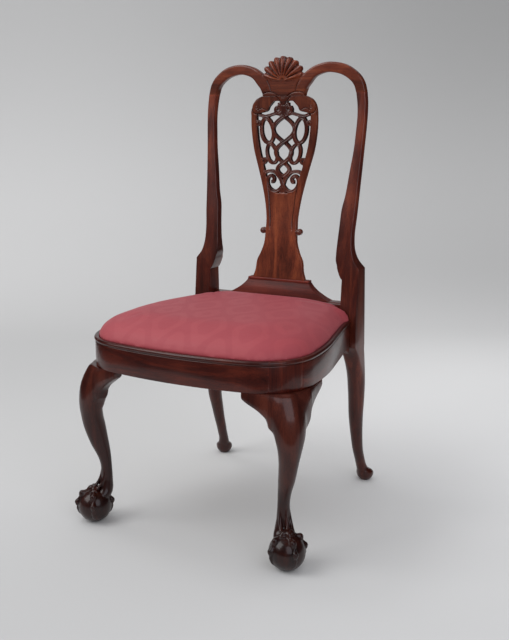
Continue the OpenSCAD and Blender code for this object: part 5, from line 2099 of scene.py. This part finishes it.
    def band(self, middle: float, lengthwise: bool, number: int) -> Shell:
        """One band of webbing, woven over and under the bands that cross it.

        Args:
            middle: Place of its middle line.
            lengthwise: Whether it runs from front to back.
            number: Its number among its neighbours.

        Returns:
            Its skin.
        """
        line = self.plan.outline(self.inset + 16)
        along, across = (1, 0) if lengthwise else (0, 1)
        near = np.abs(line[:, across] - middle) < self.web_w / 2
        ends = line[near, along]
        low, high = ends[ends < ends.mean()].max(), ends[ends > ends.mean()].min()
        step = self.step() * (self.cross_share if lengthwise else 1.0)
        centre = self.middle if lengthwise else 0.0
        u = np.linspace(low, high, 90)
        sign = (1 if number % 2 else -1) * (1 if lengthwise else -1)
        wave = sign * np.cos(np.pi * (u - centre) / step) * self.web_t * 0.5
        z = self.top + self.web_t + wave
        path = np.empty((len(u), 3))
        path[:, along], path[:, across], path[:, 2] = u, middle, z
        w, t = self.web_w / 2, self.web_t * 0.45
        section = np.array([[-w, -t], [w, -t], [w + 0.3, 0], [w, t], [-w, t], [-w - 0.3, 0]])
        sideways = np.zeros((len(u), 3))
        sideways[:, across] = 1 if lengthwise else -1
        return swept(path, sideways, np.repeat([UP], len(u), axis=0), section)

    def step(self) -> float:
        """Distance between the lengthwise bands."""
        inside = self.inset + self.cover_t + self.lay + self.slip_w
        return (self.plan.width - 2 * inside) / (self.web_n + 0.6)

    def sack(self) -> Shell:
        """The sackcloth, stretched flat over the webbing.

        Returns:
            Its skin.
        """
        line, z = self.plan.outline(self.inset + 8), self.top + 2 * self.web_t
        centre = np.array([0.0, self.middle])
        shares = np.linspace(1, 0.04, 30)
        rings = [level(mix(centre, line, share), z) for share in shares[::-1]]
        return loft(rings + [level(mix(centre, line, share), z + self.sack_t) for share in shares])

    def tacks(self) -> Shell:
        """Tacks that hold the silk under the slip frame's edge.

        Returns:
            Their skin.
        """
        line = self.plan.outline(self.inset + 12)
        heads = [ball_shell((x, y, self.base + 0.15), (2.6, 2.6, 1.1), 14) for x, y in line[::4]]
        for head in heads:
            head.points[:, 2] = np.minimum(head.points[:, 2], self.base + 0.1)
        return merged(heads)

    def turned_edge(self) -> Shell:
        """The silk turned under the slip frame, a strip about 16 mm wide.

        Returns:
            Its skin.
        """
        outer, inner = self.plan.outline(self.inset + 1.0), self.plan.outline(self.inset + 18)
        even = np.linspace(0, 1, 400, endpoint=False)

        def at(line: Array) -> Array:
            """Even points round a closed line.

            Args:
                line: The line.

            Returns:
                The points.
            """
            share = np.linspace(0, 1, len(line) + 1)
            loop = np.vstack([line, line[:1]])
            return np.stack([np.interp(even, share, loop[:, c]) for c in (0, 1)], -1)

        section = ((outer, 0.45), (inner, 0.45), (inner, 0.05), (outer, -0.05))
        return loft([level(at(line), self.base + z) for line, z in section], looped=True)

    def build(
        self, silk: Material, oak: dict[Grain, Material], jute: Material, linen: Material, iron: Material
    ) -> None:
        """Makes the seat and dresses its frame.

        Args:
            silk: Silk of the cover.
            oak: Oak of the slip frame for each way of its grain.
            jute: Jute of the webbing.
            linen: Linen of the sackcloth.
            iron: Iron of the tacks.
        """
        stands_for = ["seat_cover", "seat_stuffing"]
        form = self.fitted(self.cushion())
        seat = make("silk_cushion", form, silk, Body.SLIP_SEAT, "silk", stands_for, 180)
        extra = seat.modifiers.new("fine", "SUBSURF")
        extra.levels = extra.render_levels = 1
        for grain, hands in ((Grain.ACROSS, ("front", "rear")), (Grain.DEPTH, ("left", "right"))):
            for hand in hands:
                dress(f"slip_frame_{hand}", oak[grain])
        for lengthwise, way, node in (
            (True, "long", "webbing_front_to_back"), (False, "cross", "webbing_side_to_side"),
        ):
            step = self.step() * (1.0 if lengthwise else self.cross_share)
            centre = 0.0 if lengthwise else self.middle
            for number in range(self.web_n):
                shell = self.band(centre + (number - (self.web_n - 1) / 2) * step, lengthwise, number)
                size = sorted(float(v) for v in np.ptp(shell.points, axis=0)[:2] * MM)
                web = make(f"webbing_{way}_{number}", shell, jute, Body.SLIP_SEAT, "jute", [node])
        sack = make("sackcloth_sheet", self.sack(), linen, Body.SLIP_SEAT, "linen", ["sackcloth"])
        line = self.plan.outline(self.inset + 8) * MM
        size = tuple(float(v) for v in np.ptp(line, axis=0))
        make("silk_turned_edge", self.turned_edge(), silk, Body.SLIP_SEAT, "silk")
        make("cover_tacks", self.tacks(), iron, Body.SLIP_SEAT, "oak")


# Studio


@dataclass
class Studio:
    """Pale floor that curves up into a backdrop, soft lamps, and the camera."""

    camera_at: tuple[float, float, float] = (0.97113, -1.73422, 0.86527)
    target: tuple[float, float, float] = (0.0, -0.047, 0.48)
    roll: float = -0.0099
    lens: float = 52.73
    shift: tuple[float, float] = (0.0397, -0.0369)
    paper: str = "#cecece"

    def camera(self) -> None:
        """Sets the camera at the photograph's viewing angle."""
        data = bpy.data.cameras.new("camera")
        data.lens = self.lens
        data.sensor_width = 36.0
        data.shift_x, data.shift_y = self.shift
        piece = bpy.data.objects.new("camera", data)
        ahead = (Vector(self.target) - Vector(self.camera_at)).normalized()
        right = ahead.cross(Vector((0, 0, 1))).normalized()
        up = right.cross(ahead)
        c, s = math.cos(self.roll), math.sin(self.roll)
        right, up = c * right + s * up, -s * right + c * up
        turn = Matrix((right, up, -ahead)).transposed()
        piece.matrix_world = Matrix.Translation(self.camera_at) @ turn.to_4x4()
        bpy.context.scene.collection.objects.link(piece)
        bpy.context.scene.camera = piece

    def backdrop(self) -> None:
        """Makes the floor and the wall behind it as one curved sheet of matt paper."""
        material, tree, shader, points = new_material("backdrop_paper")
        # Paper fibres about 3 mm across, hardly visible
        at = add(tree, "VectorMath", {"operation": "SCALE", "Scale": 1 / 3, 0: points})
        fibre = add(tree, "TexNoise", {"Vector": at, "Scale": 1.0, "Detail": 2.0})
        pale = colour(self.paper)
        dull = (*(c * 0.985 for c in pale[:3]), 1.0)
        shade = add(tree, "ValToRGB", {"stops": [(0.3, dull), (0.7, pale)], "Fac": fibre})
        # Painted light and shade on the paper: the wall is painted darker towards its top and its right, and
        # the floor darker towards its left
        ahead = np.array([self.target[0] - self.camera_at[0], self.target[1] - self.camera_at[1]])
        ahead /= np.linalg.norm(ahead)
        beside = np.array([ahead[1], -ahead[0]])
        side, along = (
            add(tree, "VectorMath", {"operation": "DOT_PRODUCT", 0: points, 1: (*map(float, way), rise)})
            for way, rise in ((beside, 0.0), (ahead, 1.0))
        )

        def ranged(value: Socket, low: float, high: float, first: Any, last: Any) -> Socket:
            """Brightness that goes softly from first at low millimetres to last at high ones."""
            settings = {"Value": value, "From Min": low, "From Max": high, "To Min": first, "To Max": last}
            return add(tree, "MapRange", {"interpolation_type": "SMOOTHSTEP", **settings})

        wall_low = ranged(side, -1300.0, 1300.0, 1.07, 0.86)
        wall_high = ranged(side, -1300.0, 1400.0, 0.87, 0.63)
        wall = ranged(along, 2900.0, 4700.0, wall_low, wall_high)
        near, far = ranged(side, -700.0, 700.0, 0.79, 0.97), ranged(side, -800.0, 900.0, 0.9, 1.3)
        painted_falloff = ranged(along, 900.0, 2500.0, ranged(along, -600.0, 300.0, near, far), wall)
        multiply = {"data_type": "RGBA", "blend_type": "MULTIPLY", "Factor": 1.0}
        graded = add(tree, "Mix", {**multiply, 6: shade, 7: painted_falloff})
        settle(tree, shader, {"Base Color": graded, "Roughness": 0.75, "Specular IOR Level": 0.2})
        # A paper that widens towards the wall keeps its pale mirror image off the chair's sides
        start, wall_at, bend_r, top = -0.8, 3.0, 1.4, 4.0
        line = [(start, 0.0), (wall_at - bend_r, 0.0)]
        for a in np.linspace(0, math.pi / 2, 24)[1:]:
            line.append((wall_at - bend_r + bend_r * math.sin(a), bend_r - bend_r * math.cos(a)))
        line.append((wall_at, top))
        points_mm = [
            [*(ahead * u + beside * way * (1.25 + 0.2 * u)) / MM, (z - 0.0004) / MM]
            for u, z in line
            for way in (-1, 1)
        ]
        faces = [(2 * i, 2 * i + 1, 2 * i + 3, 2 * i + 2) for i in range(len(line) - 1)]
        sheet = new_mesh("backdrop", Shell(np.array(points_mm), faces))
        sheet.data.materials.append(material)

    def lamp(
        self, name: str, place: tuple[float, float, float], size: float, power: float, tint: str
    ) -> None:
        """Adds a square soft lamp that faces the chair.

        Args:
            name: Its name.
            place: Where it stands, in metres.
            size: Its side, in metres.
            power: Its power, in watts.
            tint: Its colour.
        """
        data = bpy.data.lights.new(name, "AREA")
        data.shape = "SQUARE"
        data.size = size
        data.energy = power
        data.color = colour(tint)[:3]
        piece = bpy.data.objects.new(name, data)
        piece.location = place
        aim = Vector((0, 0, 0.5)) - Vector(place)
        piece.rotation_euler = aim.to_track_quat("-Z", "Y").to_euler()
        bpy.context.scene.collection.objects.link(piece)

    def dim_mirror(self, tree: Tree) -> None:
        """Shows polished wood a dark room where it would mirror the world, as black flags beside a set do.

        Args:
            tree: The world's nodes.
        """
        mirrored = add(tree, "LightPath", out="Is Glossy Ray")
        dark = add(tree, "Background", {"Color": colour("#2b2b2d"), "Strength": 0.5})
        room = tree.nodes["Background"].outputs[0]
        both = add(tree, "MixShader", {0: mirrored, 1: room, 2: dark})
        tree.links.new(both, tree.nodes["World Output"].inputs["Surface"])

    def build(self) -> None:
        """Sets the camera, the backdrop, the lamps and the world."""
        self.camera()
        self.backdrop()
        self.lamp("key", (-1.7, -1.9, 2.5), 2.2, 52.0, "#ffffff")
        self.lamp("fill", (2.2, -1.9, 1.9), 2.6, 33.0, "#f3f5ff")
        self.lamp("top", (-0.4, 0.5, 3.0), 3.0, 10.5, "#f7f9ff")
        self.lamp("strip", (-1.1, 0.0, 2.7), 0.6, 6.0, "#ffffff")
        world = bpy.data.worlds.new("room")
        world.use_nodes = True
        tree = world.node_tree
        settle(tree, tree.nodes["Background"], {"Color": colour("#dedede"), "Strength": 0.86})
        self.dim_mirror(tree)
        bpy.context.scene.world = world
        bpy.context.scene.view_settings.view_transform = "Standard"


# Building the scene


def main() -> None:
    """Builds the studio and the chair, piece by piece."""
    logging.basicConfig(level=logging.INFO, format="%(name)s %(message)s")
    Studio().build()
    # Rails are darkest, the crest has faded to orange brown, posts and splat lie between
    woods = {}
    # Rows of heights paint light and shade: darker feet and lower posts, darker crest neck and splat head,
    # lighter splat waist and stile tops
    for name, grain, shades, extra in (
        ("rail", Grain.ACROSS, ("#260a08", "#3c110a", "#531c0f"), {}),
        ("side_rail", Grain.DEPTH, ("#260a08", "#3c110a", "#531c0f"), {}),
        ("corner_post", Grain.UPRIGHT, ("#260a08", "#3c110a", "#531c0f"), {}),
        ("leg", Grain.UPRIGHT, ("#260c08", "#3a130c", "#502014"), {"fade": ((60, 0.42), (330, 1.0))}),
        ("post", Grain.UPRIGHT, ("#31110b", "#4c1b11", "#682c19"), {
            "fade": ((60, 0.6), (300, 1.0), (390, 0.72), (530, 0.8), (660, 1.12)),
        }),
        ("crest", Grain.ACROSS, ("#421a0f", "#602918", "#803f24"), {"fade": ((915, 0.7), (952, 1.1))}),
        ("splat", Grain.UPRIGHT, ("#3d170d", "#5f2816", "#7b3b20"), {
            "fade": ((470, 1.0), (580, 1.2), (700, 1.0), (860, 0.72)),
        }),
        ("shoe", Grain.ACROSS, ("#3b110b", "#551a11", "#6d281b"), {"polish": 0.1, "rough": 0.5}),
        # Darker finish painted as shade on the straps and cuts of the splat and the cuts and valleys of the
        # crest
        ("strapwork", Grain.UPRIGHT, ("#2a0f0b", "#471c12", "#633020"), {"polish": 0.6}),
        # Near-black finish painted as shadow on the walls of the splat's openings
        ("fret_walls_painted_shadow", Grain.UPRIGHT, ("#140806", "#200d09", "#2e140e"), {"polish": 0.0, "rough": 0.6}),
    ):
        woods[name] = Mahogany(f"mahogany_{name}", *shades, grain, **extra).build()
    oak = {way: PlainOak(f"oak_{way.name.lower()}", "#7b5b36", "#ab8656", way).build() for way in Grain}
    plan = SeatPlan()
    SeatFrame(plan).build(woods["rail"], woods["side_rail"], woods["shoe"], oak[Grain.ACROSS])
    FrontLeg(plan).build(woods["leg"], woods["corner_post"])
    rear = RearPost(plan)
    rear.build(woods["post"])
    crest = Crest(plan, rear)
    crest.build(woods["crest"], woods["strapwork"])
    Splat(plan, crest).build(woods["splat"], woods["strapwork"], woods["fret_walls_painted_shadow"])
    SlipSeat(plan).build(
        SilkDamask("silk_damask", "#9c3b43", "#983841", "#a3464e").build(),
        oak,
        PlainWeave("jute_webbing", "#b29669", "#6a5434", 2.2).build(),
        PlainWeave("linen_sackcloth", "#b7a481", "#7b6a4d", 1.6).build(),
        WroughtIron("iron_tacks", "#1d1a19", "#3b3634").build(),
    )


if __name__ == "__main__":
    main()
